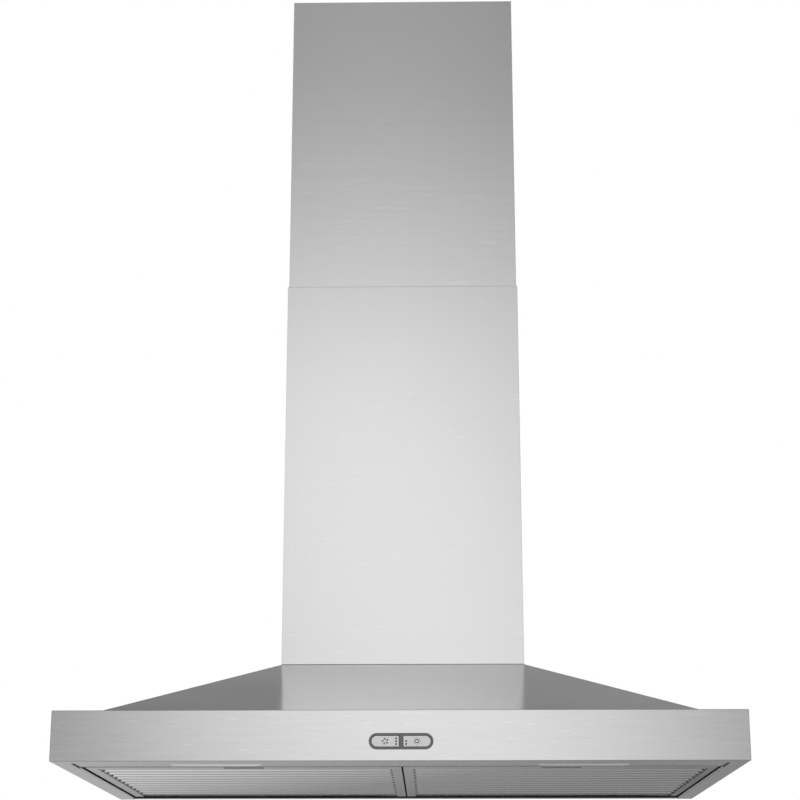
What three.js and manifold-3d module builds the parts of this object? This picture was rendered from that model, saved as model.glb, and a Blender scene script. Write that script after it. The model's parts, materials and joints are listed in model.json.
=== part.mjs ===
// Wall-mounted chimney range hood, 30-inch class, in millimetres.
// +X is the viewer's right, the front faces -Y, the wall is the plane y = 0 and +Z is up.
// The pieces are drawn with z = 0 at the rim, and the whole is then set with its origin
// at the centre of the wall bracket's rear face.
import * as THREE from 'three';
import { mergeVertices } from 'three/addons/utils/BufferGeometryUtils.js';
import Module from 'manifold-3d';

const wasm = await Module();
wasm.setup();

// Clearances
const GAP = 0.3;              // between neighbouring pieces
const HOLE_GAP = 0.4;         // round a screw or a shaft, on the radius
const THROUGH = 5;            // how far a cutter runs past the wall it cuts

// Sheet metal
const SHEET = 1;              // casing sheet
const THIN_SHEET = 0.8;       // baffles, damper flaps

// Canopy
const CANOPY_WIDTH = 760;
const CANOPY_DEPTH = 500;
const SKIRT_HEIGHT = 55;
const LEDGE = 28;             // flat top of the skirt, round the sloped top
const LEDGE_LAP = 12;         // flange of the sloped top below the ledge
const DECK_HEIGHT = 142;      // rim to the flat deck that carries the flue
const FRONT_FLANGE = 24;      // turned-in bottom edge at the front
const SIDE_FLANGE = 19;       // and at the sides

// Wall bracket
const HANG_HEIGHT = 115;      // rim to the centre of the wall bracket
const BRACKET_WIDTH = 260;
const BRACKET_HEIGHT = 44;
const BRACKET_SHEET = 1.5;
const HOOK_SPACING = 180;
const HOOK_WIDTH = 20;
const HOOK_RISE = 6;
const HOOK_SHEET = 2;
const HOOK_REACH = 6;
const HOOK_SLOT_SIDE = 2;          // play beside a hook
const HOOK_SLOT_DROP = 1;          // and below it
const BRACKET_HOLE_R = 3;
const BRACKET_HOLE_SPACING = 220;
const BRACKET_HOLE_RISE = 26;

// Flue
const FLUE_WIDTH = 298;
const FLUE_DEPTH = 250;
const LOWER_FLUE_HEIGHT = 491.7;
const UPPER_FLUE_SHOWN = 411;     // length above the lower flue at rest
const FLUE_OVERLAP = 80;
const FLUE_SLIDE_GAP = 0.4;       // between the two flues
const FLUE_RETURN = 15;           // rear edges turned in
const COLLAR_HEIGHT = 12;
const COLLAR_REAR = 24;           // collar's ends, ahead of the wall
const FLUE_BRACKET_HEIGHT = 30;
const FLUE_BRACKET_DROP = 22;     // flue's top edge to the bracket's centre
const FLUE_BRACKET_ARM = 40;
const FLUE_BRACKET_SHEET = 1.5;
const FLUE_BRACKET_INSET = 3;     // plate's ends inside the flue's returns
const LOWER_SCREW_RISE = 6;       // deck to the lower flue's screws
const LOWER_SCREW_DEPTH = 60;     // wall to the same screws
const UPPER_SCREW_DEPTH = 30;

// Screws
const SCREW_R = 2;
const SCREW_HEAD_R = 4;
const SCREW_HEAD = 1.6;
const SCREW_GRIP = 6;
const SMALL_SCREW_R = 1.5;
const SMALL_HEAD_R = 2.6;
const SMALL_HEAD = 1.1;
const SMALL_GRIP = 5;

// Light panel and rear rail
const PANEL_LAP = 14;             // light panel's lap over the front flange
const LIGHT_PANEL_END = 75.4;     // front face to the panel's rear lip
const LIGHT_LIP_HEIGHT = 26;
const LENS_LENGTH = 104;
const LENS_WIDTH = 19;
const LENS_SPACING = 408;
const LENS_DEPTH = 55.5;          // front face to the lens's centre
const LENS_THICK = 3;
const LENS_RIM = 3;
const LIGHT_HOUSING_HEIGHT = 14;
const LED_BOARD = 1.6;
const RAIL_DEPTH = 18;
const RAIL_FRONT_HEIGHT = 16;
const RAIL_REAR_HEIGHT = 25;

// Grease filters
const FILTER_SPLIT = 2;           // between the two filters
const FILTER_SPLIT_X = 2;         // and its place
const FILTER_SIDE_GAP = 5;        // side flange to a filter, the mean of both sides
const FILTER_FRONT_GAP = 1;
const FILTER_REAR = 28;           // wall to the filter's rear edge
const FILTER_THICK = 10;
const FILTER_RISE = 0.6;          // above the rim
const FILTER_SHEET = 0.9;
const SIDE_BORDER = 11;
const FRONT_BORDER = 15.5;
const REAR_BORDER = 11;
const BAFFLE_PITCH = 30;
const BAFFLE_SLOT = 8;
const FIRST_SLOT = 20.6;          // filter's front edge to the first slot's centre
const LIP_HEIGHT = 2.3;
const LUG_WIDTH = 12;
const LUG_THICK = 2;
const LUG_SPACING = 230;
const LUG_TIP = 15;               // wall to the lug's tip
const HINGE_DEPTH = 19.5;         // wall to the filter's hinge line
const HINGE_RISE = 6;
const LUG_SLOT_DROP = 1.3;
const LUG_SLOT_RISE = 6;
const LUG_SLOT_SIDE = 1;

// Filter latch
const LATCH_WINDOW = 45;
const LATCH_POCKET_WALL = 1;
const LATCH_LENGTH = 6.3;
const LATCH_THICK = 2;
const LATCH_RISE = 3;             // filter's underside to the latch plate
const LATCH_NOSE = 10.8;
const LATCH_TAB = 12;
const LATCH_TAB_LENGTH = 4;
const LATCH_TAB_DROP = 2.5;
const LATCH_TRAVEL = 4;
const LATCH_SPRING_SHEET = 0.4;
const LATCH_SPRING_HALF = 16;
const LATCH_SPRING_HEIGHT = 2;
const LATCH_SPRING_STEPS = 12;

// Controls
const CONTROL_X = 2;
const CONTROL_RISE = 21;
const CONTROL_LENGTH = 70.3;
const CONTROL_HEIGHT = 17.5;
const CONTROL_RING = 2.5;
const CONTROL_DIVIDER = 3.9;
const CONTROL_FACE = 0.9;         // ring's thickness ahead of the skirt
const CONTROL_SLEEVE_WALL = 1.2;
const CONTROL_SLEEVE = 6;
const BUTTON_RECESS = 0.3;
const BUTTON_LENGTH = 10;
const BUTTON_TRAVEL = 1.2;
const BOARD_GAP = 1.6;            // button's rear face to the circuit board
const BOARD_THICK = 1.6;
const BOARD_LENGTH = 80;
const BOARD_HEIGHT = 21;
const HOUSING_WALL = 1.5;
const HOUSING_BACK = 4;           // behind the board

// Blower
const BOX_WIDTH = 238;
const BOX_FRONT = 235;            // wall to the box's front
const BOX_REAR = 12;
const BOX_HEIGHT = 246;
const BOX_FLANGE = 9;
const BOX_SCREW_SPAN = 130;
const THROAT_WIDTH = 206;
const THROAT_MARGIN = 14;         // deck left at the box's front and rear
const AXLE_DEPTH = 150;           // wall to the blower's axle
const AXLE_DROP = 144.5;          // box's top to the axle
const WHEEL_R = 65;
const WHEEL_INNER_R = 54;
const WHEEL_HALF = 45;
const WHEEL_BLADES = 30;
const WHEEL_RIM = 3;              // width of an end ring
const BLADE_SHEET = 1.2;
const BLADE_LEAN = 0.5;           // radians from the radius
const BLADE_INSET = 1;
const HUB_R = 12;
const HUB_HALF = 12;
const AXLE_R = 4;
const AXLE_START = 28;            // axle's free end, left of the middle
const SCROLL_START_R = 71;
const SCROLL_END_R = 95;
const SCROLL_HALF = 49.7;
const SCROLL_STEPS = 27;
const TONGUE_SIDE = 5;            // tongue, behind the axle
const SCROLL_LIP = 5;
const INLET_R = 50;
const MOTOR_R = 40;
const MOTOR_START = 54;
const MOTOR_LENGTH = 52;
const MOTOR_BORE_DEPTH = 20;
const MOTOR_SHOULDER = 5;
const MOTOR_BAND = 12;
const MOTOR_BAND_SHEET = 2;
const MOTOR_ARM = 10;
const MOTOR_FOOT_R = 62;
const MOTOR_ARM_LAP = 1;          // arm's root in the band

// Duct collar and damper
const DUCT_R = 76;                // 6-inch duct, outside
const DUCT_DEPTH = 103;           // wall to the duct's axis
const DUCT_HEIGHT = 48;
const DUCT_FLANGE = 88;
const DAMPER_RISE = 20;
const DAMPER_LIP = 3;
const DAMPER_LIP_HEIGHT = 1.5;
const DAMPER_ROD_R = 2.5;
const FLAP_INSET = 3;

// Wiring
const WIRING_DEPTH = 24;
const WIRING_FRONT = 200;
const WIRING_REAR = 60;
const WIRING_BOTTOM = 200;
const WIRING_HEIGHT = 130;
const CLAMP_R = 11;
const CLAMP_BORE_R = 7.5;
const CLAMP_HEIGHT = 14;
const CLAMP_TAPER = 1.5;
const CLAMP_DEPTH = 90;
const TERMINAL_SIZE = [16, 50, 18];
const TERMINAL_RISE = 20;
const TERMINAL_MOUTH = 6;
const COVER_SCREW_INSET = 8;
const CAPACITOR_R = 8.5;
const CAPACITOR_LENGTH = 42;
const CAPACITOR_RISE = 80;
const CAPACITOR_EDGE = 1;
const HARNESS_R = 3;
const HARNESS_DEPTH = 130;
const HARNESS_X = 133;
const HARNESS_HOLE_GAP = 4;       // round the lead where it passes the deck
const HARNESS_BELOW = 16;         // under the sloped top and the deck
const HARNESS_BEND = 14;          // length of a bend
const HARNESS_LEAD = 8;           // straight stretch out of the housing
const HARNESS_STEPS = 44;
const HARNESS_SIDES = 8;

// Worked-out places
const HALF = CANOPY_WIDTH / 2;
const FILTER_WIDTH = HALF - SIDE_FLANGE - FILTER_SIDE_GAP - FILTER_SPLIT / 2;
const FRONT = -CANOPY_DEPTH;
const LEDGE_UNDER = SKIRT_HEIGHT - SHEET - GAP;
const BACK_PANEL_REAR = -BRACKET_SHEET - GAP;
const BACK_PANEL_FRONT = BACK_PANEL_REAR - SHEET;
const FLUE_HALF = FLUE_WIDTH / 2;
const LOWER_FLUE_BOTTOM = DECK_HEIGHT + GAP;
const LOWER_FLUE_TOP = LOWER_FLUE_BOTTOM + LOWER_FLUE_HEIGHT;
const FLUE_STEP = SHEET + FLUE_SLIDE_GAP;
const UPPER_HALF = FLUE_HALF - FLUE_STEP;
const FLUE_TOP = LOWER_FLUE_TOP + UPPER_FLUE_SHOWN;
const COLLAR_HALF = FLUE_HALF - SHEET - FLUE_SLIDE_GAP;
const FILTER_FRONT = FRONT + LIGHT_PANEL_END + FILTER_FRONT_GAP;
const FILTER_LENGTH = -FILTER_REAR - FILTER_FRONT;
const BOX_BOTTOM = DECK_HEIGHT + GAP;
const BOX_TOP = BOX_BOTTOM + BOX_HEIGHT;
const AXLE_Z = BOX_TOP - AXLE_DROP;
const DUCT_BOTTOM = BOX_TOP + GAP;
const CONTROL_BACK = FRONT + SHEET + CONTROL_SLEEVE;
const BUTTON_FACE = FRONT - GAP - CONTROL_FACE + BUTTON_RECESS;
const BUTTON_REAR = BUTTON_FACE + BUTTON_LENGTH;
const BOARD_FRONT = BUTTON_REAR + BOARD_GAP;
const HOUSING_REAR = BOARD_FRONT + BOARD_THICK + HOUSING_BACK;

// Finishes
const brushedSteel = { color: 0xc9c9c9, roughness: 0.35, metalness: 1 };
const zincSteel = { color: 0xa9adb0, roughness: 0.45, metalness: 1 };
const filterSteel = { color: 0xbfc0c0, roughness: 0.3, metalness: 1 };
const darkPlastic = { color: 0x303236, roughness: 0.6, metalness: 0 };
const greyPlastic = { color: 0x6a6c6e, roughness: 0.5, metalness: 0 };
const paleGrey = { color: 0xd2d3d3, roughness: 0.4, metalness: 0.3 };
const frostedLens = { color: 0xf2f2ee, roughness: 0.25, metalness: 0 };
const circuitGreen = { color: 0x1f6b3a, roughness: 0.5, metalness: 0 };
const wheelGrey = { color: 0x8f9396, roughness: 0.5, metalness: 0.6 };
const cableGrey = { color: 0x4b4d50, roughness: 0.6, metalness: 0 };

// Solids

const MERGE_DISTANCE = 1e-4;
const ROUND_STEPS = 24;

function meshSolid(positions, corners) {
  return new wasm.Manifold(new wasm.Mesh({
    numProp: 3,
    vertProperties: Float32Array.from(positions),
    triVerts: Uint32Array.from(corners),
  }));
}

// Turns a closed three.js geometry into a solid with its faces pointing out.
function toSolid(geometry) {
  const plain = geometry.clone();
  plain.deleteAttribute('normal');
  plain.deleteAttribute('uv');
  const merged = mergeVertices(plain, MERGE_DISTANCE);
  const positions = merged.attributes.position.array;
  const all = merged.index.array;
  const corners = [];
  for (let i = 0; i < all.length; i += 3) {
    const [a, b, c] = [all[i], all[i + 1], all[i + 2]];
    if (a !== b && b !== c && c !== a) corners.push(a, b, c);
  }
  const solid = meshSolid(positions, corners);
  if (solid.volume() > 0) return solid;
  const turned = corners.map((_, i) => corners[i - (i % 3) + (2 - (i % 3))]);
  return meshSolid(positions, turned);
}

function toGeometry(solid) {
  const { numProp, vertProperties, triVerts } = solid.getMesh();
  const positions = new Float32Array((vertProperties.length / numProp) * 3);
  for (let i = 0; i < positions.length; i += 3) {
    const from = (i / 3) * numProp;
    positions.set(vertProperties.subarray(from, from + 3), i);
  }
  const geometry = new THREE.BufferGeometry();
  geometry.setAttribute('position', new THREE.BufferAttribute(positions, 3));
  geometry.setIndex(new THREE.BufferAttribute(Uint32Array.from(triVerts), 1));
  geometry.computeVertexNormals();
  return geometry;
}

const join = (first, ...rest) => rest.reduce((all, next) => all.add(next), first);
const cut = (first, ...rest) => rest.reduce((left, next) => left.subtract(next), first);

function block(x0, x1, y0, y1, z0, z1) {
  const geometry = new THREE.BoxGeometry(x1 - x0, y1 - y0, z1 - z0);
  geometry.translate((x0 + x1) / 2, (y0 + y1) / 2, (z0 + z1) / 2);
  return toSolid(geometry);
}

// A box whose top is another rectangle: low and high are [x0, x1, y0, y1, z].
function taperedBlock(low, high) {
  const geometry = new THREE.BoxGeometry(1, 1, 1);
  const corner = geometry.attributes.position;
  for (let i = 0; i < corner.count; i += 1) {
    const [x0, x1, y0, y1, z] = corner.getZ(i) > 0 ? high : low;
    corner.setXYZ(i, corner.getX(i) > 0 ? x1 : x0, corner.getY(i) > 0 ? y1 : y0, z);
  }
  return toSolid(geometry);
}

function extrude(shape, depth) {
  return new THREE.ExtrudeGeometry(shape, {
    depth,
    bevelEnabled: false,
    curveSegments: ROUND_STEPS / 2,
  });
}

// Outlines drawn in (x, y), (x, z) or (y, z), given thickness along the third axis.
function alongZ(shape, z0, z1) {
  return toSolid(extrude(shape, z1 - z0).translate(0, 0, z0));
}

function alongY(shape, y0, y1) {
  const turn = new THREE.Matrix4().makeBasis(
    new THREE.Vector3(1, 0, 0), new THREE.Vector3(0, 0, 1), new THREE.Vector3(0, -1, 0));
  return toSolid(extrude(shape, y1 - y0).applyMatrix4(turn).translate(0, y1, 0));
}

function alongX(shape, x0, x1) {
  const turn = new THREE.Matrix4().makeBasis(
    new THREE.Vector3(0, 1, 0), new THREE.Vector3(0, 0, 1), new THREE.Vector3(1, 0, 0));
  return toSolid(extrude(shape, x1 - x0).applyMatrix4(turn).translate(x0, 0, 0));
}

function outline(points) {
  return new THREE.Shape(points.map(([a, b]) => new THREE.Vector2(a, b)));
}

function disc(a, b, radius) {
  return new THREE.Shape().absarc(a, b, radius, 0, 2 * Math.PI);
}

function ring(a, b, radius, inner) {
  const shape = disc(a, b, radius);
  shape.holes.push(new THREE.Path().absarc(a, b, inner, 0, 2 * Math.PI, true));
  return shape;
}

// A slot with round ends, its middle at (a, b).
function stadium(a, b, length, height) {
  const r = height / 2;
  const reach = length / 2 - r;
  const shape = new THREE.Shape();
  shape.absarc(a + reach, b, r, -Math.PI / 2, Math.PI / 2);
  shape.absarc(a - reach, b, r, Math.PI / 2, 1.5 * Math.PI);
  return shape;
}

// The edge line of a bent sheet, as an outline of the sheet's thickness.
function bentSheet(points, thickness) {
  const line = points.map(([a, b]) => new THREE.Vector2(a, b));
  const sides = [[], []];
  line.forEach((point, i) => {
    const into = point.clone().sub(line[Math.max(i - 1, 0)]);
    const out = line[Math.min(i + 1, line.length - 1)].clone().sub(point);
    if (i === 0) into.copy(out);
    if (i === line.length - 1) out.copy(into);
    into.normalize();
    out.normalize();
    const normal = new THREE.Vector2(-into.y - out.y, into.x + out.x).normalize();
    const reach = thickness / 2 / (normal.x * -into.y + normal.y * into.x);
    sides[0].push(point.clone().addScaledVector(normal, reach));
    sides[1].push(point.clone().addScaledVector(normal, -reach));
  });
  return new THREE.Shape([...sides[0], ...sides[1].reverse()]);
}

// A round piece from its half section, [radius, height] pairs, about +Z.
function turned(section, steps = ROUND_STEPS) {
  const points = section.map(([r, h]) => new THREE.Vector2(r, h));
  return toSolid(new THREE.LatheGeometry(points, steps).rotateX(Math.PI / 2));
}

// Round hole or rod along an axis, from start to end.
const rodAlongX = (y, z, r, x0, x1) => alongX(disc(y, z, r), x0, x1);
const rodAlongY = (x, z, r, y0, y1) => alongY(disc(x, z, r), y0, y1);
const rodAlongZ = (x, y, r, z0, z1) => alongZ(disc(x, y, r), z0, z1);

// The assembly

const hood = new THREE.Group();
hood.position.z = -HANG_HEIGHT;

function piece(name, solid, look, at = [0, 0, 0], parent = hood) {
  const mesh = new THREE.Mesh(toGeometry(solid), new THREE.MeshStandardMaterial(look));
  mesh.name = name;
  mesh.position.set(...at);
  parent.add(mesh);
  return mesh;
}

// Pan-head screw about +Z: the head's seat is at z = 0 and the shank points down.
function screwSolid(shankR, headR, head, grip) {
  const crown = headR * 0.7;
  return turned([[0, head], [crown, head], [headR, head / 2], [headR, 0],
    [shankR, 0], [shankR, -grip], [0, -grip]], ROUND_STEPS / 2);
}

const screw = screwSolid(SCREW_R, SCREW_HEAD_R, SCREW_HEAD, SCREW_GRIP);
const smallScrew = screwSolid(SMALL_SCREW_R, SMALL_HEAD_R, SMALL_HEAD, SMALL_GRIP);

function placeScrew(name, solid, at, side = 0) {
  const mesh = piece(name, solid, zincSteel, at);
  mesh.rotation.y = (side * Math.PI) / 2;
}

// Skirt: front and side walls, ledge and turned-in bottom edge, open at the rear.
function makeSkirt() {
  const shell = cut(
    block(-HALF, HALF, FRONT, 0, 0, SKIRT_HEIGHT),
    block(-HALF + SHEET, HALF - SHEET, FRONT + SHEET, THROUGH, SHEET, SKIRT_HEIGHT - SHEET),
    block(-HALF + LEDGE, HALF - LEDGE, FRONT + LEDGE, THROUGH,
      SKIRT_HEIGHT - 2 * SHEET, SKIRT_HEIGHT + THROUGH),
    block(-HALF + SIDE_FLANGE, HALF - SIDE_FLANGE, FRONT + FRONT_FLANGE, THROUGH,
      -THROUGH, 2 * SHEET),
    alongY(stadium(CONTROL_X, CONTROL_RISE, sleeveLength + 2 * GAP, sleeveHeight + 2 * GAP),
      FRONT - THROUGH, FRONT + SHEET + THROUGH),
  );
  piece('skirt', shell, brushedSteel);
}

const sleeveLength = CONTROL_LENGTH - 2 * CONTROL_RING + 2 * CONTROL_SLEEVE_WALL;
const sleeveHeight = CONTROL_HEIGHT - 2 * CONTROL_RING + 2 * CONTROL_SLEEVE_WALL;

const topRun = HALF - LEDGE - GAP - FLUE_HALF;
const topRise = DECK_HEIGHT - LEDGE_UNDER + SHEET;
const slopeDrop = SHEET * Math.hypot(topRun, topRise) / topRun;

const boxScrewPlaces = [-1, 1].flatMap((side) => [-1, 1].map((end) => [
  side * (BOX_WIDTH / 2 + BOX_FLANGE / 2),
  -(BOX_FRONT + BOX_REAR) / 2 + (end * BOX_SCREW_SPAN) / 2,
]));

// Sloped top with its flat deck, blower throat and the collar that locates the flue.
function makeCanopyTop() {
  const baseHalf = HALF - LEDGE - GAP;
  const baseFront = FRONT + LEDGE + GAP;
  const base = LEDGE_UNDER - SHEET;
  const rear = BACK_PANEL_FRONT - GAP;
  const low = [-baseHalf, baseHalf, baseFront, rear, base];
  const high = [-FLUE_HALF, FLUE_HALF, -FLUE_DEPTH, rear, DECK_HEIGHT];
  const lowered = ([x0, x1, y0, , z]) => [x0, x1, y0, THROUGH, z - slopeDrop];
  const flange = cut(
    block(-baseHalf - LEDGE_LAP, baseHalf + LEDGE_LAP, baseFront - LEDGE_LAP, rear,
      base, LEDGE_UNDER),
    block(-baseHalf + SHEET, baseHalf - SHEET, baseFront + SHEET, THROUGH,
      base - THROUGH, LEDGE_UNDER + THROUGH),
  );
  const collar = alongZ(bentSheet([
    [-COLLAR_HALF + SHEET / 2, -COLLAR_REAR],
    [-COLLAR_HALF + SHEET / 2, -FLUE_DEPTH + FLUE_HALF - COLLAR_HALF + SHEET / 2],
    [COLLAR_HALF - SHEET / 2, -FLUE_DEPTH + FLUE_HALF - COLLAR_HALF + SHEET / 2],
    [COLLAR_HALF - SHEET / 2, -COLLAR_REAR],
  ], SHEET), DECK_HEIGHT - SHEET / 2, DECK_HEIGHT + COLLAR_HEIGHT);
  const holeTop = DECK_HEIGHT + COLLAR_HEIGHT + THROUGH;
  const holeBottom = DECK_HEIGHT - THROUGH;
  const top = cut(
    join(taperedBlock(low, high), flange),
    taperedBlock(lowered(low), lowered(high)),
    block(-baseHalf + THROUGH, baseHalf - THROUGH, baseFront + THROUGH, THROUGH,
      base - THROUGH, base),
    block(-THROAT_WIDTH / 2, THROAT_WIDTH / 2, -BOX_FRONT + THROAT_MARGIN,
      -BOX_REAR - THROAT_MARGIN, holeBottom, holeTop),
    rodAlongZ(HARNESS_X, -HARNESS_DEPTH, HARNESS_R + HARNESS_HOLE_GAP,
      holeBottom, holeTop),
    ...boxScrewPlaces.map(([x, y]) => rodAlongZ(x, y, SCREW_R + HOLE_GAP, holeBottom, holeTop)),
  );
  const screwHoles = rodAlongX(-LOWER_SCREW_DEPTH, DECK_HEIGHT + LOWER_SCREW_RISE,
    SCREW_R + HOLE_GAP, -FLUE_HALF - THROUGH, FLUE_HALF + THROUGH);
  piece('canopy_top', cut(join(top, collar), screwHoles), brushedSteel);
}

// Back panel with the two slots that hang on the wall bracket's hooks.
function makeBackPanel() {
  const inside = HALF - SHEET - GAP;
  const shoulder = HALF - LEDGE - LEDGE_LAP;
  const slope = topRise / topRun;
  const panel = alongY(outline([
    [-inside, SHEET + GAP], [inside, SHEET + GAP], [inside, LEDGE_UNDER],
    [shoulder, LEDGE_UNDER], [shoulder, LEDGE_UNDER + (HALF - LEDGE - shoulder) * slope - SHEET],
    [FLUE_HALF, DECK_HEIGHT - SHEET], [-FLUE_HALF, DECK_HEIGHT - SHEET],
    [-shoulder, LEDGE_UNDER + (HALF - LEDGE - shoulder) * slope - SHEET],
    [-shoulder, LEDGE_UNDER], [-inside, LEDGE_UNDER],
  ]), BACK_PANEL_FRONT, BACK_PANEL_REAR);
  const slotTop = HANG_HEIGHT + GAP;
  const slots = [-1, 1].map((side) => block(
    (side * HOOK_SPACING - HOOK_WIDTH) / 2 - HOOK_SLOT_SIDE,
    (side * HOOK_SPACING + HOOK_WIDTH) / 2 + HOOK_SLOT_SIDE,
    BACK_PANEL_FRONT - THROUGH, THROUGH,
    slotTop - HOOK_SHEET - HOOK_RISE - HOOK_SLOT_DROP, slotTop));
  piece('back_panel', cut(panel, ...slots), zincSteel);
}

// Wall bracket: plate against the wall and two upturned hooks.
function makeWallBracket() {
  const low = HANG_HEIGHT - BRACKET_HEIGHT / 2;
  const plate = block(-BRACKET_WIDTH / 2, BRACKET_WIDTH / 2, -BRACKET_SHEET, 0,
    low, low + BRACKET_HEIGHT);
  const hooks = [-1, 1].flatMap((side) => {
    const x = (side * HOOK_SPACING) / 2;
    const [x0, x1] = [x - HOOK_WIDTH / 2, x + HOOK_WIDTH / 2];
    return [
      block(x0, x1, -HOOK_REACH, -BRACKET_SHEET / 2, HANG_HEIGHT - HOOK_SHEET, HANG_HEIGHT),
      block(x0, x1, -HOOK_REACH, -HOOK_REACH + BRACKET_SHEET,
        HANG_HEIGHT - HOOK_SHEET, HANG_HEIGHT + HOOK_RISE),
    ];
  });
  const holes = [-1, 1].flatMap((side) => [-1, 1].map((end) => rodAlongY(
    (side * BRACKET_HOLE_SPACING) / 2, HANG_HEIGHT + (end * BRACKET_HOLE_RISE) / 2,
    BRACKET_HOLE_R, -BRACKET_SHEET - THROUGH, THROUGH)));
  piece('wall_bracket', cut(join(plate, ...hooks), ...holes), zincSteel);
}

// Light panel: plate on the bottom flanges with an upturned rear lip.
const lensPlaces = [['left', -LENS_SPACING / 2], ['right', LENS_SPACING / 2]];

function makeLightPanel() {
  const middle = SHEET + GAP + SHEET / 2;
  const lip = FRONT + LIGHT_PANEL_END - SHEET / 2;
  const inside = HALF - SHEET - GAP;
  const bent = alongX(bentSheet([
    [FRONT + FRONT_FLANGE - PANEL_LAP, middle], [lip, middle], [lip, LIGHT_LIP_HEIGHT],
  ], SHEET), -inside, inside);
  const windows = lensPlaces.map(([, x]) => alongZ(
    stadium(x, FRONT + LENS_DEPTH, LENS_LENGTH, LENS_WIDTH), -THROUGH, THROUGH));
  piece('light_panel', cut(bent, ...windows), brushedSteel);
}

function makeLights() {
  const panelTop = 2 * SHEET + GAP;
  const lensBottom = SHEET + GAP;
  for (const [side, x] of lensPlaces) {
    const at = [x, FRONT + LENS_DEPTH, 0];
    const face = alongZ(stadium(0, 0, LENS_LENGTH - 2 * GAP, LENS_WIDTH - 2 * GAP),
      lensBottom, panelTop + GAP + SHEET);
    const rim = alongZ(stadium(0, 0, LENS_LENGTH + LENS_RIM, LENS_WIDTH + LENS_RIM),
      panelTop + GAP, lensBottom + LENS_THICK);
    piece(`light_lens_${side}`, join(face, rim), frostedLens, at);
    const base = lensBottom + LENS_THICK + GAP;
    const [a, b] = [LENS_LENGTH / 2 + LENS_RIM, LENS_WIDTH / 2 + LENS_RIM];
    const housing = cut(
      block(-a, a, -b, b, base, base + LIGHT_HOUSING_HEIGHT),
      block(-a + SHEET, a - SHEET, -b + SHEET, b - SHEET,
        base - THROUGH, base + LIGHT_HOUSING_HEIGHT - SHEET),
    );
    piece(`light_housing_${side}`, housing, darkPlastic, at);
    const boardTop = base + LIGHT_HOUSING_HEIGHT - SHEET - GAP;
    const board = block(-a + SHEET + GAP, a - SHEET - GAP, -b + SHEET + GAP, b - SHEET - GAP,
      boardTop - LED_BOARD, boardTop);
    piece(`led_board_${side}`, board, circuitGreen, at);
  }
}

// Rear rail: channel across the back whose front upstand carries the filters' lugs.
const lugMiddles = [-1, 1].map((end) => (end * LUG_SPACING) / 2);
const filterPlaces = [-1, 1].map((side) => [
  side < 0 ? 'left' : 'right',
  FILTER_SPLIT_X + (side * (FILTER_WIDTH + FILTER_SPLIT)) / 2,
]);

function makeRearRail() {
  const half = HALF - SIDE_FLANGE - GAP;
  const back = BACK_PANEL_FRONT - GAP - SHEET / 2;
  const front = -RAIL_DEPTH + SHEET / 2;
  const channel = alongX(bentSheet([
    [back, RAIL_REAR_HEIGHT], [back, SHEET / 2], [front, SHEET / 2], [front, RAIL_FRONT_HEIGHT],
  ], SHEET), -half, half);
  const slots = filterPlaces.flatMap(([, x]) => lugMiddles.map((lug) => block(
    x + lug - LUG_WIDTH / 2 - LUG_SLOT_SIDE, x + lug + LUG_WIDTH / 2 + LUG_SLOT_SIDE,
    front - THROUGH, front + THROUGH, HINGE_RISE - LUG_SLOT_DROP, HINGE_RISE + LUG_SLOT_RISE)));
  piece('rear_rail', cut(channel, ...slots), brushedSteel);
}

// One grease filter, drawn about its hinge line: front edge at -y, underside at -z.
const filterBack = HINGE_DEPTH - FILTER_REAR;
const filterNose = filterBack - FILTER_LENGTH;
const filterUnder = FILTER_RISE - HINGE_RISE;
const filterOver = filterUnder + FILTER_THICK;
const filterHalf = FILTER_WIDTH / 2;
const pocketHalf = LATCH_WINDOW / 2;
const pocketBack = filterNose + FRONT_BORDER - LATCH_POCKET_WALL;

function filterFrame() {
  const inside = (inset, z0, z1) => block(-filterHalf + inset, filterHalf - inset,
    filterNose + inset, filterBack - inset, z0, z1);
  const shell = cut(
    inside(0, filterUnder, filterOver),
    inside(FILTER_SHEET, filterUnder + FILTER_SHEET, filterOver - FILTER_SHEET),
    block(-filterHalf + SIDE_BORDER, filterHalf - SIDE_BORDER, filterNose + FRONT_BORDER,
      filterBack - REAR_BORDER, filterUnder - THROUGH, filterOver + THROUGH),
  );
  const pocket = block(-pocketHalf - LATCH_POCKET_WALL, pocketHalf + LATCH_POCKET_WALL,
    filterNose, filterNose + FRONT_BORDER, filterUnder, filterOver);
  const hollow = block(-pocketHalf, pocketHalf, filterNose + FILTER_SHEET, pocketBack,
    filterUnder - THROUGH, filterOver - FILTER_SHEET);
  const noseHole = block(-LATCH_NOSE / 2 - GAP, LATCH_NOSE / 2 + GAP,
    filterNose - THROUGH, filterNose + THROUGH,
    filterUnder + LATCH_RISE - GAP, filterUnder + LATCH_RISE + LATCH_THICK + GAP);
  const lugs = lugMiddles.map((x) => block(x - LUG_WIDTH / 2, x + LUG_WIDTH / 2,
    filterBack - FILTER_SHEET, HINGE_DEPTH - LUG_TIP, -LUG_THICK / 2, LUG_THICK / 2));
  return join(cut(join(shell, pocket), hollow, noseHole), ...lugs);
}

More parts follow.
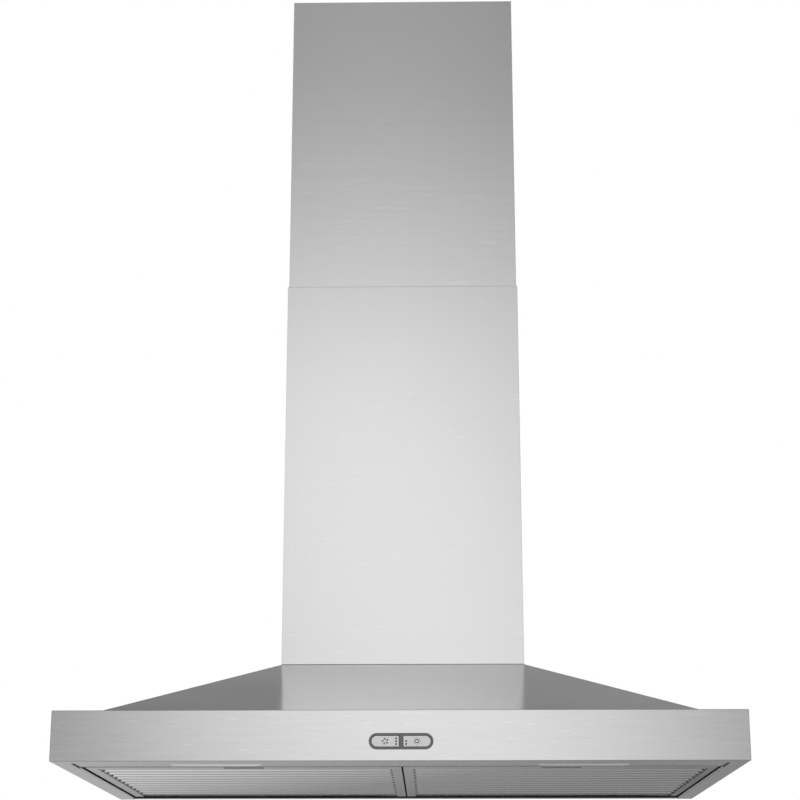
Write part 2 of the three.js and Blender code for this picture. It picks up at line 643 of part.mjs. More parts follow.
// A pressed baffle plate: slots across it, each with both its edges turned over.
function bafflePlate(firstSlot, count, z, lipZ) {
  const rim = FILTER_SHEET + GAP;
  const plate = block(-filterHalf + rim, filterHalf - rim, filterNose + rim, filterBack - rim,
    z, z + THIN_SHEET);
  const latchNotch = block(-pocketHalf - LATCH_POCKET_WALL - GAP,
    pocketHalf + LATCH_POCKET_WALL + GAP, filterNose - THROUGH,
    filterNose + FRONT_BORDER + GAP, z - THROUGH, z + THROUGH);
  const half = filterHalf - SIDE_BORDER - GAP;
  const middles = Array.from({ length: count }, (_, i) => firstSlot + i * BAFFLE_PITCH);
  const lips = middles.map((y) => block(-half, half, y - BAFFLE_SLOT / 2 - THIN_SHEET,
    y + BAFFLE_SLOT / 2 + THIN_SHEET, Math.min(z, lipZ), Math.max(z + THIN_SHEET, lipZ)));
  const slots = middles.map((y) => block(-half + THIN_SHEET, half - THIN_SHEET,
    y - BAFFLE_SLOT / 2, y + BAFFLE_SLOT / 2, z - THROUGH, z + THROUGH));
  return cut(join(cut(plate, latchNotch), ...lips), ...slots);
}

function latchSolid() {
  const low = filterUnder + LATCH_RISE;
  const front = filterNose + FILTER_SHEET + GAP;
  const plate = block(-pocketHalf + GAP, pocketHalf - GAP, front, front + LATCH_LENGTH,
    low, low + LATCH_THICK);
  const nose = block(-LATCH_NOSE / 2, LATCH_NOSE / 2, filterNose - FILTER_FRONT_GAP + GAP,
    front + GAP, low, low + LATCH_THICK);
  const tabMiddle = front + LATCH_LENGTH / 2;
  const tab = block(-LATCH_TAB / 2, LATCH_TAB / 2, tabMiddle - LATCH_TAB_LENGTH / 2,
    tabMiddle + LATCH_TAB_LENGTH / 2, low - LATCH_TAB_DROP, low + LATCH_THICK / 2);
  return join(plate, nose, tab);
}

function latchSpring() {
  const start = filterNose + FILTER_SHEET + GAP + LATCH_LENGTH + GAP + LATCH_SPRING_SHEET / 2;
  const end = pocketBack - GAP - LATCH_SPRING_SHEET / 2;
  const bow = Array.from({ length: LATCH_SPRING_STEPS + 1 }, (_, i) => {
    const across = (2 * i) / LATCH_SPRING_STEPS - 1;
    return [across * LATCH_SPRING_HALF, start + (end - start) * across * across];
  });
  const low = filterUnder + LATCH_RISE;
  return alongZ(bentSheet(bow, LATCH_SPRING_SHEET), low, low + LATCH_SPRING_HEIGHT);
}

function makeFilters() {
  const slotCount = Math.floor((FILTER_LENGTH - FIRST_SLOT - REAR_BORDER) / BAFFLE_PITCH) + 1;
  const firstLower = filterNose + FIRST_SLOT;
  const lowerZ = filterUnder + FILTER_SHEET + GAP;
  const upperZ = filterOver - FILTER_SHEET - GAP - THIN_SHEET;
  const frame = filterFrame();
  const lower = bafflePlate(firstLower, slotCount, lowerZ, lowerZ + THIN_SHEET + LIP_HEIGHT);
  const upper = bafflePlate(firstLower + BAFFLE_PITCH / 2, slotCount - 1, upperZ,
    upperZ - LIP_HEIGHT);
  for (const [side, x] of filterPlaces) {
    const filter = new THREE.Group();
    filter.position.set(x, -HINGE_DEPTH, HINGE_RISE);
    hood.add(filter);
    const centre = [0, 0, 0];
    piece(`filter_frame_${side}`, frame, filterSteel, centre, filter);
    piece(`baffle_lower_${side}`, lower, filterSteel, centre, filter);
    piece(`baffle_upper_${side}`, upper, filterSteel, centre, filter);
    piece(`filter_latch_${side}`, latchSolid(), darkPlastic, centre, filter);
    piece(`latch_spring_${side}`, latchSpring(), zincSteel, centre, filter);
  }
}

// Flues: U channels with their rear edges turned in.
function fluePlan(half, front, rear) {
  return bentSheet([
    [-half + FLUE_RETURN, rear], [-half + SHEET / 2, rear],
    [-half + SHEET / 2, front], [half - SHEET / 2, front],
    [half - SHEET / 2, rear], [half - FLUE_RETURN, rear],
  ], SHEET);
}

function makeFlues() {
  const lower = alongZ(fluePlan(FLUE_HALF, -FLUE_DEPTH + SHEET / 2, -SHEET / 2),
    LOWER_FLUE_BOTTOM, LOWER_FLUE_TOP);
  const lowerHoles = rodAlongX(-LOWER_SCREW_DEPTH, DECK_HEIGHT + LOWER_SCREW_RISE,
    SCREW_R + HOLE_GAP, -FLUE_HALF - THROUGH, FLUE_HALF + THROUGH);
  piece('lower_flue', cut(lower, lowerHoles), brushedSteel);
  const upper = alongZ(fluePlan(UPPER_HALF, -FLUE_DEPTH + FLUE_STEP + SHEET / 2,
    -FLUE_STEP - SHEET / 2), LOWER_FLUE_TOP - FLUE_OVERLAP, FLUE_TOP);
  const upperHoles = rodAlongX(-UPPER_SCREW_DEPTH, FLUE_TOP - FLUE_BRACKET_DROP,
    SCREW_R + HOLE_GAP, -FLUE_HALF - THROUGH, FLUE_HALF + THROUGH);
  piece('upper_flue', cut(upper, upperHoles), brushedSteel);

  const inside = UPPER_HALF - SHEET - GAP - FLUE_BRACKET_SHEET / 2;
  const plateEnd = UPPER_HALF - FLUE_RETURN - FLUE_BRACKET_INSET;
  const clear = -FLUE_STEP - SHEET - GAP - FLUE_BRACKET_SHEET / 2;
  const bracket = alongZ(bentSheet([
    [-inside, -FLUE_BRACKET_ARM], [-inside, clear], [-plateEnd, clear],
    [-plateEnd + FLUE_BRACKET_INSET, -FLUE_BRACKET_SHEET / 2],
    [plateEnd - FLUE_BRACKET_INSET, -FLUE_BRACKET_SHEET / 2],
    [plateEnd, clear], [inside, clear], [inside, -FLUE_BRACKET_ARM],
  ], FLUE_BRACKET_SHEET), FLUE_TOP - FLUE_BRACKET_DROP - FLUE_BRACKET_HEIGHT / 2,
  FLUE_TOP - FLUE_BRACKET_DROP + FLUE_BRACKET_HEIGHT / 2);
  piece('flue_bracket', cut(bracket, upperHoles), zincSteel);

  for (const [side, sign] of [['left', -1], ['right', 1]]) {
    placeScrew(`lower_flue_screw_${side}`, screw,
      [sign * (FLUE_HALF + GAP), -LOWER_SCREW_DEPTH, DECK_HEIGHT + LOWER_SCREW_RISE], sign);
    placeScrew(`flue_screw_${side}`, screw,
      [sign * (UPPER_HALF + GAP), -UPPER_SCREW_DEPTH, FLUE_TOP - FLUE_BRACKET_DROP], sign);
  }
}

// Control capsule in the skirt, its two buttons, and the board behind them.
function makeControls() {
  const at = [CONTROL_X, 0, CONTROL_RISE];
  const ringFront = FRONT - GAP - CONTROL_FACE;
  const windowLength = CONTROL_LENGTH - 2 * CONTROL_RING;
  const windowHeight = CONTROL_HEIGHT - 2 * CONTROL_RING;
  const divider = block(-CONTROL_DIVIDER / 2, CONTROL_DIVIDER / 2, ringFront, CONTROL_BACK,
    -sleeveHeight / 2 + GAP, sleeveHeight / 2 - GAP);
  const bezel = join(
    cut(
      join(alongY(stadium(0, 0, CONTROL_LENGTH, CONTROL_HEIGHT), ringFront, FRONT - GAP),
        alongY(stadium(0, 0, sleeveLength, sleeveHeight), FRONT - 2 * GAP, CONTROL_BACK)),
      alongY(stadium(0, 0, windowLength, windowHeight), ringFront - THROUGH,
        CONTROL_BACK + THROUGH),
    ),
    divider,
  );
  piece('control_bezel', bezel, greyPlastic, at);

  const face = alongY(stadium(0, 0, windowLength - 2 * GAP, windowHeight - 2 * GAP),
    BUTTON_FACE, BUTTON_REAR);
  const keep = CONTROL_DIVIDER / 2 + GAP;
  const cutter = (x0, x1) => block(x0, x1, FRONT - THROUGH, BUTTON_REAR + THROUGH,
    -CONTROL_HEIGHT, CONTROL_HEIGHT);
  piece('fan_button', cut(face, cutter(-keep, CONTROL_LENGTH)), paleGrey, at);
  piece('light_button', cut(face, cutter(-CONTROL_LENGTH, keep)), paleGrey, at);

  const board = block(-BOARD_LENGTH / 2, BOARD_LENGTH / 2, BOARD_FRONT,
    BOARD_FRONT + BOARD_THICK, -BOARD_HEIGHT / 2, BOARD_HEIGHT / 2);
  piece('control_board', board, circuitGreen, at);
  const [a, b] = [BOARD_LENGTH / 2 + GAP, BOARD_HEIGHT / 2 + GAP];
  const housing = cut(
    block(-a - HOUSING_WALL, a + HOUSING_WALL, FRONT + SHEET + GAP, HOUSING_REAR,
      -b - HOUSING_WALL, b + HOUSING_WALL),
    block(-a, a, FRONT - THROUGH, HOUSING_REAR - HOUSING_WALL, -b, b),
  );
  piece('control_housing', housing, darkPlastic, at);
}

// Blower box: open below, standing on the deck by its two side flanges.
function makeBlowerBox() {
  const half = BOX_WIDTH / 2;
  const flanges = block(-half - BOX_FLANGE, half + BOX_FLANGE, -BOX_FRONT, -BOX_REAR,
    BOX_BOTTOM, BOX_BOTTOM + SHEET);
  const shell = cut(
    join(block(-half, half, -BOX_FRONT, -BOX_REAR, BOX_BOTTOM, BOX_TOP), flanges),
    block(-half + SHEET, half - SHEET, -BOX_FRONT + SHEET, -BOX_REAR - SHEET,
      BOX_BOTTOM - THROUGH, BOX_TOP - SHEET),
    block(-SCROLL_HALF, SCROLL_HALF, -AXLE_DEPTH + TONGUE_SIDE, -AXLE_DEPTH + SCROLL_END_R,
      BOX_TOP - THROUGH, BOX_TOP + THROUGH),
    ...boxScrewPlaces.map(([x, y]) => rodAlongZ(x, y, SCREW_R + HOLE_GAP,
      BOX_BOTTOM - THROUGH, BOX_BOTTOM + THROUGH)),
  );
  piece('blower_box', shell, zincSteel);
  boxScrewPlaces.forEach(([x, y], i) => {
    placeScrew(`blower_screw_${i + 1}`, screw, [x, y, BOX_BOTTOM + SHEET + GAP]);
  });
}

// Scroll: spiral from the tongue at the top, over the front and bottom to the rear,
// then straight up to the outlet. Drawn about the axle in (y, z).
const scrollTop = AXLE_DROP - SHEET - GAP;

function scrollLine(extra) {
  const spiral = Array.from({ length: SCROLL_STEPS + 1 }, (_, i) => {
    const share = i / SCROLL_STEPS;
    const angle = share * 1.5 * Math.PI;
    const r = SCROLL_START_R + (SCROLL_END_R - SCROLL_START_R) * share + extra;
    return [-r * Math.sin(angle), r * Math.cos(angle)];
  });
  return [[TONGUE_SIDE - extra, scrollTop], [TONGUE_SIDE - extra, SCROLL_START_R + extra],
    ...spiral.slice(1), [SCROLL_END_R + extra, scrollTop]];
}

function makeScroll() {
  const at = [0, -AXLE_DEPTH, AXLE_Z];
  piece('scroll_wrap', alongX(bentSheet(scrollLine(0), SHEET), -SCROLL_HALF, SCROLL_HALF),
    zincSteel, at);
  const plate = outline(scrollLine(SCROLL_LIP));
  for (const [side, sign] of [['left', -1], ['right', 1]]) {
    const near = sign * (SCROLL_HALF + GAP);
    const far = near + sign * SHEET;
    const cheek = cut(
      alongX(plate, Math.min(near, far), Math.max(near, far)),
      rodAlongX(0, 0, INLET_R, -BOX_WIDTH, BOX_WIDTH),
    );
    piece(`scroll_side_${side}`, cheek, zincSteel, at);
  }
}

// Double-inlet wheel: two end rings, a web with its hub, and curved-forward blades.
function makeWheel() {
  const rimSection = (x0, x1) => alongX(ring(0, 0, WHEEL_R, WHEEL_INNER_R), x0, x1);
  const web = alongX(ring(0, 0, WHEEL_R, AXLE_R + HOLE_GAP), -SHEET, SHEET);
  const hub = alongX(ring(0, 0, HUB_R, AXLE_R + HOLE_GAP), -HUB_HALF, HUB_HALF);
  const blades = Array.from({ length: WHEEL_BLADES }, (_, i) => {
    const turn = (i / WHEEL_BLADES) * 2 * Math.PI;
    const length = WHEEL_R - WHEEL_INNER_R - 2 * BLADE_INSET;
    const blade = new THREE.BoxGeometry(2 * WHEEL_HALF - WHEEL_RIM, length, BLADE_SHEET);
    blade.rotateX(BLADE_LEAN);
    blade.translate(0, (WHEEL_R + WHEEL_INNER_R) / 2, 0);
    return toSolid(blade.rotateX(turn));
  });
  const wheel = join(rimSection(-WHEEL_HALF, -WHEEL_HALF + WHEEL_RIM),
    rimSection(WHEEL_HALF - WHEEL_RIM, WHEEL_HALF), web, hub, ...blades);
  const at = [0, -AXLE_DEPTH, AXLE_Z];
  piece('blower_wheel', wheel, wheelGrey, at);
  const axleEnd = MOTOR_START + MOTOR_BORE_DEPTH - GAP;
  piece('motor_shaft', rodAlongX(0, 0, AXLE_R, -AXLE_START, axleEnd), zincSteel, at);
}

// Motor, and the band with three arms that holds it to the scroll's right cheek.
function makeMotor() {
  const at = [0, -AXLE_DEPTH, AXLE_Z];
  const bore = AXLE_R + HOLE_GAP;
  const body = turned([[0, MOTOR_BORE_DEPTH], [bore, MOTOR_BORE_DEPTH], [bore, 0],
    [MOTOR_R - MOTOR_SHOULDER, 0], [MOTOR_R, MOTOR_SHOULDER], [MOTOR_R, MOTOR_LENGTH - MOTOR_SHOULDER],
    [MOTOR_R - MOTOR_SHOULDER, MOTOR_LENGTH], [0, MOTOR_LENGTH]]);
  const motor = piece('motor', body, darkPlastic, [MOTOR_START, at[1], at[2]]);
  motor.rotation.y = Math.PI / 2;

  const seat = SCROLL_HALF + 2 * GAP + SHEET;
  const bandR = MOTOR_R + GAP;
  const bandStart = MOTOR_START + 2 * MOTOR_SHOULDER;
  const band = alongX(ring(0, 0, bandR + MOTOR_BAND_SHEET, bandR), bandStart,
    bandStart + MOTOR_BAND);
  const arms = [0, 1, 2].map((i) => {
    const turn = ((i + 0.5) / 3) * 2 * Math.PI;
    const root = bandR + MOTOR_ARM_LAP;
    const radial = outline([[-MOTOR_ARM / 2, root], [MOTOR_ARM / 2, root],
      [MOTOR_ARM / 2, MOTOR_FOOT_R], [-MOTOR_ARM / 2, MOTOR_FOOT_R]]);
    const arm = extrude(radial, MOTOR_BAND_SHEET).translate(0, 0, bandStart);
    const leg = new THREE.BoxGeometry(MOTOR_ARM, MOTOR_BAND_SHEET,
      bandStart + MOTOR_BAND_SHEET - seat);
    leg.translate(0, MOTOR_FOOT_R - MOTOR_BAND_SHEET / 2,
      (seat + bandStart + MOTOR_BAND_SHEET) / 2);
    const place = new THREE.Matrix4().makeBasis(new THREE.Vector3(0, 1, 0),
      new THREE.Vector3(0, 0, 1), new THREE.Vector3(1, 0, 0));
    const spin = new THREE.Matrix4().makeRotationX(turn);
    return join(toSolid(arm.applyMatrix4(place).applyMatrix4(spin)),
      toSolid(leg.applyMatrix4(place).applyMatrix4(spin)));
  });
  piece('motor_bracket', join(band, ...arms), zincSteel, at);
}

// Duct collar on the box, with two spring-free flaps on a rod across it.
const lipTop = DUCT_BOTTOM + SHEET + DAMPER_RISE;
const flapBottom = lipTop + GAP;
const rodHeight = flapBottom + DAMPER_ROD_R - GAP;

function makeDuct() {
  const tube = (r0, r1, z0, z1) => alongZ(ring(0, 0, r1, r0), z0, z1);
  const plate = cut(
    block(-DUCT_FLANGE, DUCT_FLANGE, -DUCT_FLANGE, DUCT_FLANGE, DUCT_BOTTOM,
      DUCT_BOTTOM + SHEET),
    rodAlongZ(0, 0, DUCT_R - SHEET, DUCT_BOTTOM - THROUGH, DUCT_BOTTOM + THROUGH),
  );
  const collar = join(plate,
    tube(DUCT_R - SHEET, DUCT_R, DUCT_BOTTOM, DUCT_BOTTOM + DUCT_HEIGHT),
    tube(DUCT_R - SHEET - DAMPER_LIP, DUCT_R - SHEET / 2, lipTop - DAMPER_LIP_HEIGHT, lipTop));
  const at = [0, -DUCT_DEPTH, 0];
  piece('duct_adapter', collar, zincSteel, at);
  const reach = DUCT_R - SHEET - 2 * GAP;
  piece('damper_rod', rodAlongX(0, rodHeight, DAMPER_ROD_R, -reach, reach), zincSteel, at);
  const flapR = DUCT_R - SHEET - 2 * GAP;
  for (const [side, sign] of [['front', -1], ['rear', 1]]) {
    const keep = sign > 0 ? [FLAP_INSET, DUCT_R] : [-DUCT_R, -FLAP_INSET];
    const flap = rodAlongZ(0, 0, flapR, flapBottom, flapBottom + THIN_SHEET)
      .intersect(block(-DUCT_R, DUCT_R, ...keep, DUCT_BOTTOM, lipTop + DUCT_HEIGHT));
    piece(`damper_flap_${side}`, flap, zincSteel, at);
  }
}

// Wiring box on the blower box's right side, with what it holds and the lead to the controls.
function makeWiring() {
  const x0 = BOX_WIDTH / 2 + GAP;
  const x1 = x0 + WIRING_DEPTH;
  const top = WIRING_BOTTOM + WIRING_HEIGHT;
  const clampX = (x0 + x1) / 2;
  const tray = cut(
    block(x0, x1, -WIRING_FRONT, -WIRING_REAR, WIRING_BOTTOM, top),
    block(x0 + SHEET, x1 + THROUGH, -WIRING_FRONT + SHEET, -WIRING_REAR - SHEET,
      WIRING_BOTTOM + SHEET, top - SHEET),
    rodAlongZ(clampX, -CLAMP_DEPTH, CLAMP_BORE_R, top - THROUGH, top + THROUGH),
  );
  piece('wiring_box', tray, zincSteel);

  const screwRise = WIRING_HEIGHT / 2 - COVER_SCREW_INSET;
  const middle = WIRING_BOTTOM + WIRING_HEIGHT / 2;
  const screwY = -(WIRING_FRONT + WIRING_REAR) / 2;
  const coverX = x1 + GAP;
  const holes = [-1, 1].map((end) => rodAlongX(screwY, middle + end * screwRise,
    SMALL_SCREW_R + HOLE_GAP, coverX - THROUGH, coverX + THROUGH));
  const cover = block(coverX, coverX + THIN_SHEET, -WIRING_FRONT, -WIRING_REAR,
    WIRING_BOTTOM, top);
  piece('wiring_cover', cut(cover, ...holes), zincSteel);
  ['lower', 'upper'].forEach((place, i) => {
    placeScrew(`cover_screw_${place}`, smallScrew,
      [coverX + THIN_SHEET + GAP, screwY, middle + (2 * i - 1) * screwRise], 1);
  });

  const floorX = x0 + SHEET + GAP;
  const [tx, ty, tz] = TERMINAL_SIZE;
  const shelf = WIRING_BOTTOM + TERMINAL_RISE;
  const mouth = TERMINAL_MOUTH / 2;
  const terminals = cut(
    block(floorX, floorX + tx, screwY - ty / 2, screwY + ty / 2, shelf, shelf + tz),
    ...[-1, 0, 1].map((i) => block(floorX + tx / 2, floorX + tx + THROUGH,
      screwY + (i * ty) / 3 - mouth, screwY + (i * ty) / 3 + mouth,
      shelf + mouth, shelf + tz - mouth)),
  );
  piece('terminal_block', terminals, paleGrey);
  const can = turned([[0, 0], [CAPACITOR_R - CAPACITOR_EDGE, 0], [CAPACITOR_R, CAPACITOR_EDGE],
    [CAPACITOR_R, CAPACITOR_LENGTH - CAPACITOR_EDGE],
    [CAPACITOR_R - CAPACITOR_EDGE, CAPACITOR_LENGTH], [0, CAPACITOR_LENGTH]]);
  const capacitor = piece('capacitor', can, cableGrey,
    [floorX + CAPACITOR_R, screwY + CAPACITOR_LENGTH / 2, WIRING_BOTTOM + CAPACITOR_RISE]);
  capacitor.rotation.x = Math.PI / 2;
  const bushing = turned([[CLAMP_BORE_R, 0], [CLAMP_R, 0], [CLAMP_R, CLAMP_HEIGHT / 2],
    [CLAMP_R - CLAMP_TAPER, CLAMP_HEIGHT], [CLAMP_BORE_R, CLAMP_HEIGHT], [CLAMP_BORE_R, 0]]);
  piece('cable_clamp', bushing, darkPlastic, [clampX, -CLAMP_DEPTH, top + GAP]);
}

// The lead runs from the control housing, up under the sloped top and through the deck.
function makeHarness() {
  const start = HOUSING_REAR + 2 * GAP;
  const end = WIRING_BOTTOM - GAP;
  const slopeAt = (y) => LEDGE_UNDER + ((y - FRONT - LEDGE) * topRise)
    / (CANOPY_DEPTH - LEDGE - FLUE_DEPTH);
  const climbFront = start + 2 * HARNESS_LEAD + HARNESS_BEND;
  const climbRear = -FLUE_DEPTH - HARNESS_LEAD;
  const side = HARNESS_X - CONTROL_X;
  const climb = [0.02, 0.22, 0.6, 0.92].map((share) => {
    const y = climbFront + (climbRear - climbFront) * share;
    return [CONTROL_X + side * Math.sqrt(share), y, slopeAt(y) - HARNESS_BELOW];
  });
  const under = DECK_HEIGHT - HARNESS_BELOW;
  const bendStart = -HARNESS_DEPTH - HARNESS_BEND;
  const route = [
    [CONTROL_X, start, CONTROL_RISE], [CONTROL_X, start + HARNESS_LEAD, CONTROL_RISE],
    ...climb,
    [HARNESS_X, bendStart - 2 * HARNESS_BEND, under], [HARNESS_X, bendStart, under],
    [HARNESS_X, -HARNESS_DEPTH, DECK_HEIGHT + HARNESS_BEND / 3],
    [HARNESS_X, -HARNESS_DEPTH, DECK_HEIGHT + 2 * HARNESS_BEND],
    [HARNESS_X, -HARNESS_DEPTH, end - HARNESS_BEND], [HARNESS_X, -HARNESS_DEPTH, end],
  ].map((point) => new THREE.Vector3(...point));
  const path = new THREE.CatmullRomCurve3(route);
  const section = new THREE.Shape(Array.from({ length: HARNESS_SIDES }, (_, i) => {
    const turn = (i / HARNESS_SIDES) * 2 * Math.PI;
    return new THREE.Vector2(HARNESS_R * Math.cos(turn), HARNESS_R * Math.sin(turn));
  }));
  const lead = new THREE.ExtrudeGeometry(section, { steps: HARNESS_STEPS, extrudePath: path });
  piece('control_harness', toSolid(lead), cableGrey);
}

makeWallBracket();
makeBackPanel();
makeSkirt();
makeCanopyTop();
makeLightPanel();
makeLights();
makeRearRail();
makeFilters();
makeFlues();
makeControls();
makeBlowerBox();
makeScroll();
makeWheel();
makeMotor();
makeDuct();
makeWiring();
makeHarness();

const whole = new THREE.Group();
whole.add(hood);
export default whole;
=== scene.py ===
# Chimney range hood, dressed around its frame: sheet metal, filters, buttons, blower and duct.
import json
import math

import bmesh
import bpy
from mathutils import Matrix, Vector


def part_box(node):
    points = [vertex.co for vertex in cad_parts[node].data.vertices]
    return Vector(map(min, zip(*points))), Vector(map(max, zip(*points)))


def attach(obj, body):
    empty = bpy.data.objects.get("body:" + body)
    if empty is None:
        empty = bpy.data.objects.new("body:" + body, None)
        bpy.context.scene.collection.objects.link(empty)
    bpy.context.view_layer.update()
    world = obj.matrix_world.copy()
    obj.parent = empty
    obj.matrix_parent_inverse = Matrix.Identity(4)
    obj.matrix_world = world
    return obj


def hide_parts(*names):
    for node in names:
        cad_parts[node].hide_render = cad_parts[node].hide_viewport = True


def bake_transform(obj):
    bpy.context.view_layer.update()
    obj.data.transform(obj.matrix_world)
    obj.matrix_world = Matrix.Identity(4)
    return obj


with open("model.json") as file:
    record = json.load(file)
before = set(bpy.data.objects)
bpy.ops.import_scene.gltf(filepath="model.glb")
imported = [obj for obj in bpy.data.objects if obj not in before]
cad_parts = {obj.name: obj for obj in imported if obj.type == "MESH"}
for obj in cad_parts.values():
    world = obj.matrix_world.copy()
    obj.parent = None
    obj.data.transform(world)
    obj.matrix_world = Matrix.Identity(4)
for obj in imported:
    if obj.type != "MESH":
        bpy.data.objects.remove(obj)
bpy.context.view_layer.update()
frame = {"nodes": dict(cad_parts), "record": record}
nodes = frame["nodes"]
record = frame["record"]
bodyOf = {node: body for body, names in record["behaviour"]["bodies"].items() for node in names}
slotOf = {row["node"]: row["material_slot"] for row in record["subparts"]}
print("frame loaded:", len(nodes), "nodes")

mm = 0.001

# camera, world, lamps and floor

cameraSettings = {
    "place": (0.0359, -2.6067, -0.3279),
    "pitch": 16.388,        # degrees up
    "yaw": -0.953,          # degrees to the right
    "focalPixels": 1924.6,
    "pictureWidth": 800.0,
    "sensor": 36.0,
    "near": 0.05,
    "far": 80,
}


def makeCamera(s):
    data = bpy.data.cameras.new("camera")
    data.sensor_width = s["sensor"]
    data.lens = s["focalPixels"] / s["pictureWidth"] * s["sensor"]
    data.clip_start = s["near"]
    data.clip_end = s["far"]
    camera = bpy.data.objects.new("camera", data)
    camera.location = s["place"]
    camera.rotation_euler = (math.radians(90 + s["pitch"]), 0, math.radians(-s["yaw"]))
    bpy.context.scene.collection.objects.link(camera)
    bpy.context.scene.camera = camera


def setInput(tree, socket, value):
    if isinstance(value, bpy.types.NodeSocket):
        tree.links.new(value, socket)
    else:
        socket.default_value = value


def addNode(tree, kind, settings=None, **inputs):
    node = tree.nodes.new(kind)
    for key, value in (settings or {}).items():
        setattr(node, key, value)
    for key, value in inputs.items():
        numbered = key[0] == "i" and key[1:].isdigit()
        setInput(tree, node.inputs[int(key[1:])] if numbered else node.inputs[key], value)
    return node


def calc(tree, operation, a, b=0.0, c=0.0, clamp=False):
    settings = {"operation": operation, "use_clamp": clamp}
    return addNode(tree, "ShaderNodeMath", settings, i0=a, i1=b, i2=c).outputs[0]


def graded(tree, value, stops):
    node = addNode(tree, "ShaderNodeValToRGB", i0=value)
    ramp = node.color_ramp
    while len(ramp.elements) < len(stops):
        ramp.elements.new(1.0)
    for element, (place, level) in zip(ramp.elements, stops):
        element.position = place
        element.color = (level, level, level, 1)
    return node.outputs[0]


worldSettings = {
    # light ahead, behind and across, as (degrees, level)
    "frontStops": [(0, 1.13), (11, 1.16), (14, 1.25), (18, 1.25), (20, 0.86), (21.5, 0.6), (24, 0.45),
                   (26, 0.33), (28.5, 0.2), (34, 0.2), (36.5, 1.42), (60, 1.3), (90, 0.7)],
    "rearStops": [(0, 1.0), (29.5, 1.0), (32, 0.25), (42, 0.14), (48, 0.32), (60, 0.5), (90, 0.6)],
    "boxStops": [(-90, 0.85), (-60, 0.6), (-30, 0.3), (-13, 0.26), (-11.1, 0.28), (-9.4, 0.44),
                 (-7.6, 0.66), (-5.8, 0.74), (-4.1, 0.82), (-2.3, 0.93), (0.5, 0.955), (2.2, 0.96),
                 (4, 0.9), (5.8, 0.79), (7.5, 0.66), (9, 0.45), (11, 0.3), (14, 0.28), (30, 0.3),
                 (60, 0.6), (90, 0.85)],
    "slant": 2.6,           # left side brighter than the right, per unit of direction
    "slantFrom": 8.0,       # elevation at which that begins, and how fast
    "slantRise": 5.0,
    "slantLeast": 0.85,
    "slantMost": 1.22,
    "below": 0.638,         # level under the horizon
    "fill": 0.8,            # even light on dull surfaces
    "turnOver": 5.0,        # how fast the light ahead gives way to the light behind
}


def makeWorld(s):
    world = bpy.data.worlds.new("studio")
    bpy.context.scene.world = world
    world.use_nodes = True
    tree = world.node_tree
    tree.nodes.clear()
    coord = addNode(tree, "ShaderNodeTexCoord")
    split = addNode(tree, "ShaderNodeSeparateXYZ", i0=coord.outputs["Generated"])
    x, y, z = (split.outputs[i] for i in range(3))
    elevation = calc(tree, "MULTIPLY", calc(tree, "ARCSINE", z), 2 / math.pi)
    azimuth = calc(tree, "ARCTAN2", x, calc(tree, "MULTIPLY", y, -1.0))
    front = graded(tree, elevation, [(e / 90, level) for e, level in s["frontStops"]])
    rear = graded(tree, elevation, [(e / 90, level) for e, level in s["rearStops"]])
    box = graded(tree, calc(tree, "MULTIPLY_ADD", azimuth, 1 / math.pi, 0.5),
                 [(a / 180 + 0.5, level) for a, level in s["boxStops"]])
    rising = calc(tree, "MULTIPLY_ADD", elevation, 90 / s["slantRise"], -s["slantFrom"] / s["slantRise"],
                  clamp=True)
    slant = calc(tree, "MULTIPLY_ADD", calc(tree, "MULTIPLY", x, rising), -s["slant"], 1.0)
    slanted = calc(tree, "MINIMUM", calc(tree, "MAXIMUM", slant, s["slantLeast"]), s["slantMost"])
    ahead = calc(tree, "MULTIPLY", calc(tree, "MULTIPLY", front, box), slanted)
    behind = calc(tree, "MULTIPLY_ADD", y, s["turnOver"], 0.5, clamp=True)
    high = calc(tree, "ADD", calc(tree, "MULTIPLY", rear, behind),
                calc(tree, "MULTIPLY", ahead, calc(tree, "SUBTRACT", 1.0, behind)))
    under = calc(tree, "LESS_THAN", z, 0.0)
    level = calc(tree, "ADD", calc(tree, "MULTIPLY", under, s["below"]),
                 calc(tree, "MULTIPLY", high, calc(tree, "SUBTRACT", 1.0, under)))
    rays = addNode(tree, "ShaderNodeLightPath")
    seen = calc(tree, "MAXIMUM", calc(tree, "MAXIMUM", rays.outputs["Is Camera Ray"],
                                      rays.outputs["Is Glossy Ray"]), rays.outputs["Is Transmission Ray"])
    strength = calc(tree, "ADD", calc(tree, "MULTIPLY", seen, level),
                    calc(tree, "MULTIPLY", calc(tree, "SUBTRACT", 1.0, seen), s["fill"]))
    shade = addNode(tree, "ShaderNodeBackground", Strength=strength)
    shade.inputs["Color"].default_value = (1, 1, 1, 1)
    addNode(tree, "ShaderNodeOutputWorld", Surface=shade.outputs[0])


lampSettings = [
    # name, place, aimed at, width, height, watts
    ("keyLamp", (-2.2, -2.2, 2.6), (0, -0.2, 0.2), 2.0, 2.0, 16),
    ("fillLamp", (2.4, -1.4, 2.8), (0, -0.2, 0.2), 2.0, 2.0, 9),
]


def makeLamps(rows):
    for name, place, target, width, height, watts in rows:
        data = bpy.data.lights.new(name, "AREA")
        data.shape = "RECTANGLE"
        data.size = width
        data.size_y = height
        data.energy = watts
        lamp = bpy.data.objects.new(name, data)
        lamp.location = place
        lamp.rotation_euler = (Vector(target) - Vector(place)).to_track_quat("-Z", "Y").to_euler()
        bpy.context.scene.collection.objects.link(lamp)


floorSettings = {"height": -1.76, "half": 70.0, "color": (0.8, 0.8, 0.8), "roughness": 0.9, "mottle": 0.02,
                 "mottleScale": 0.6}


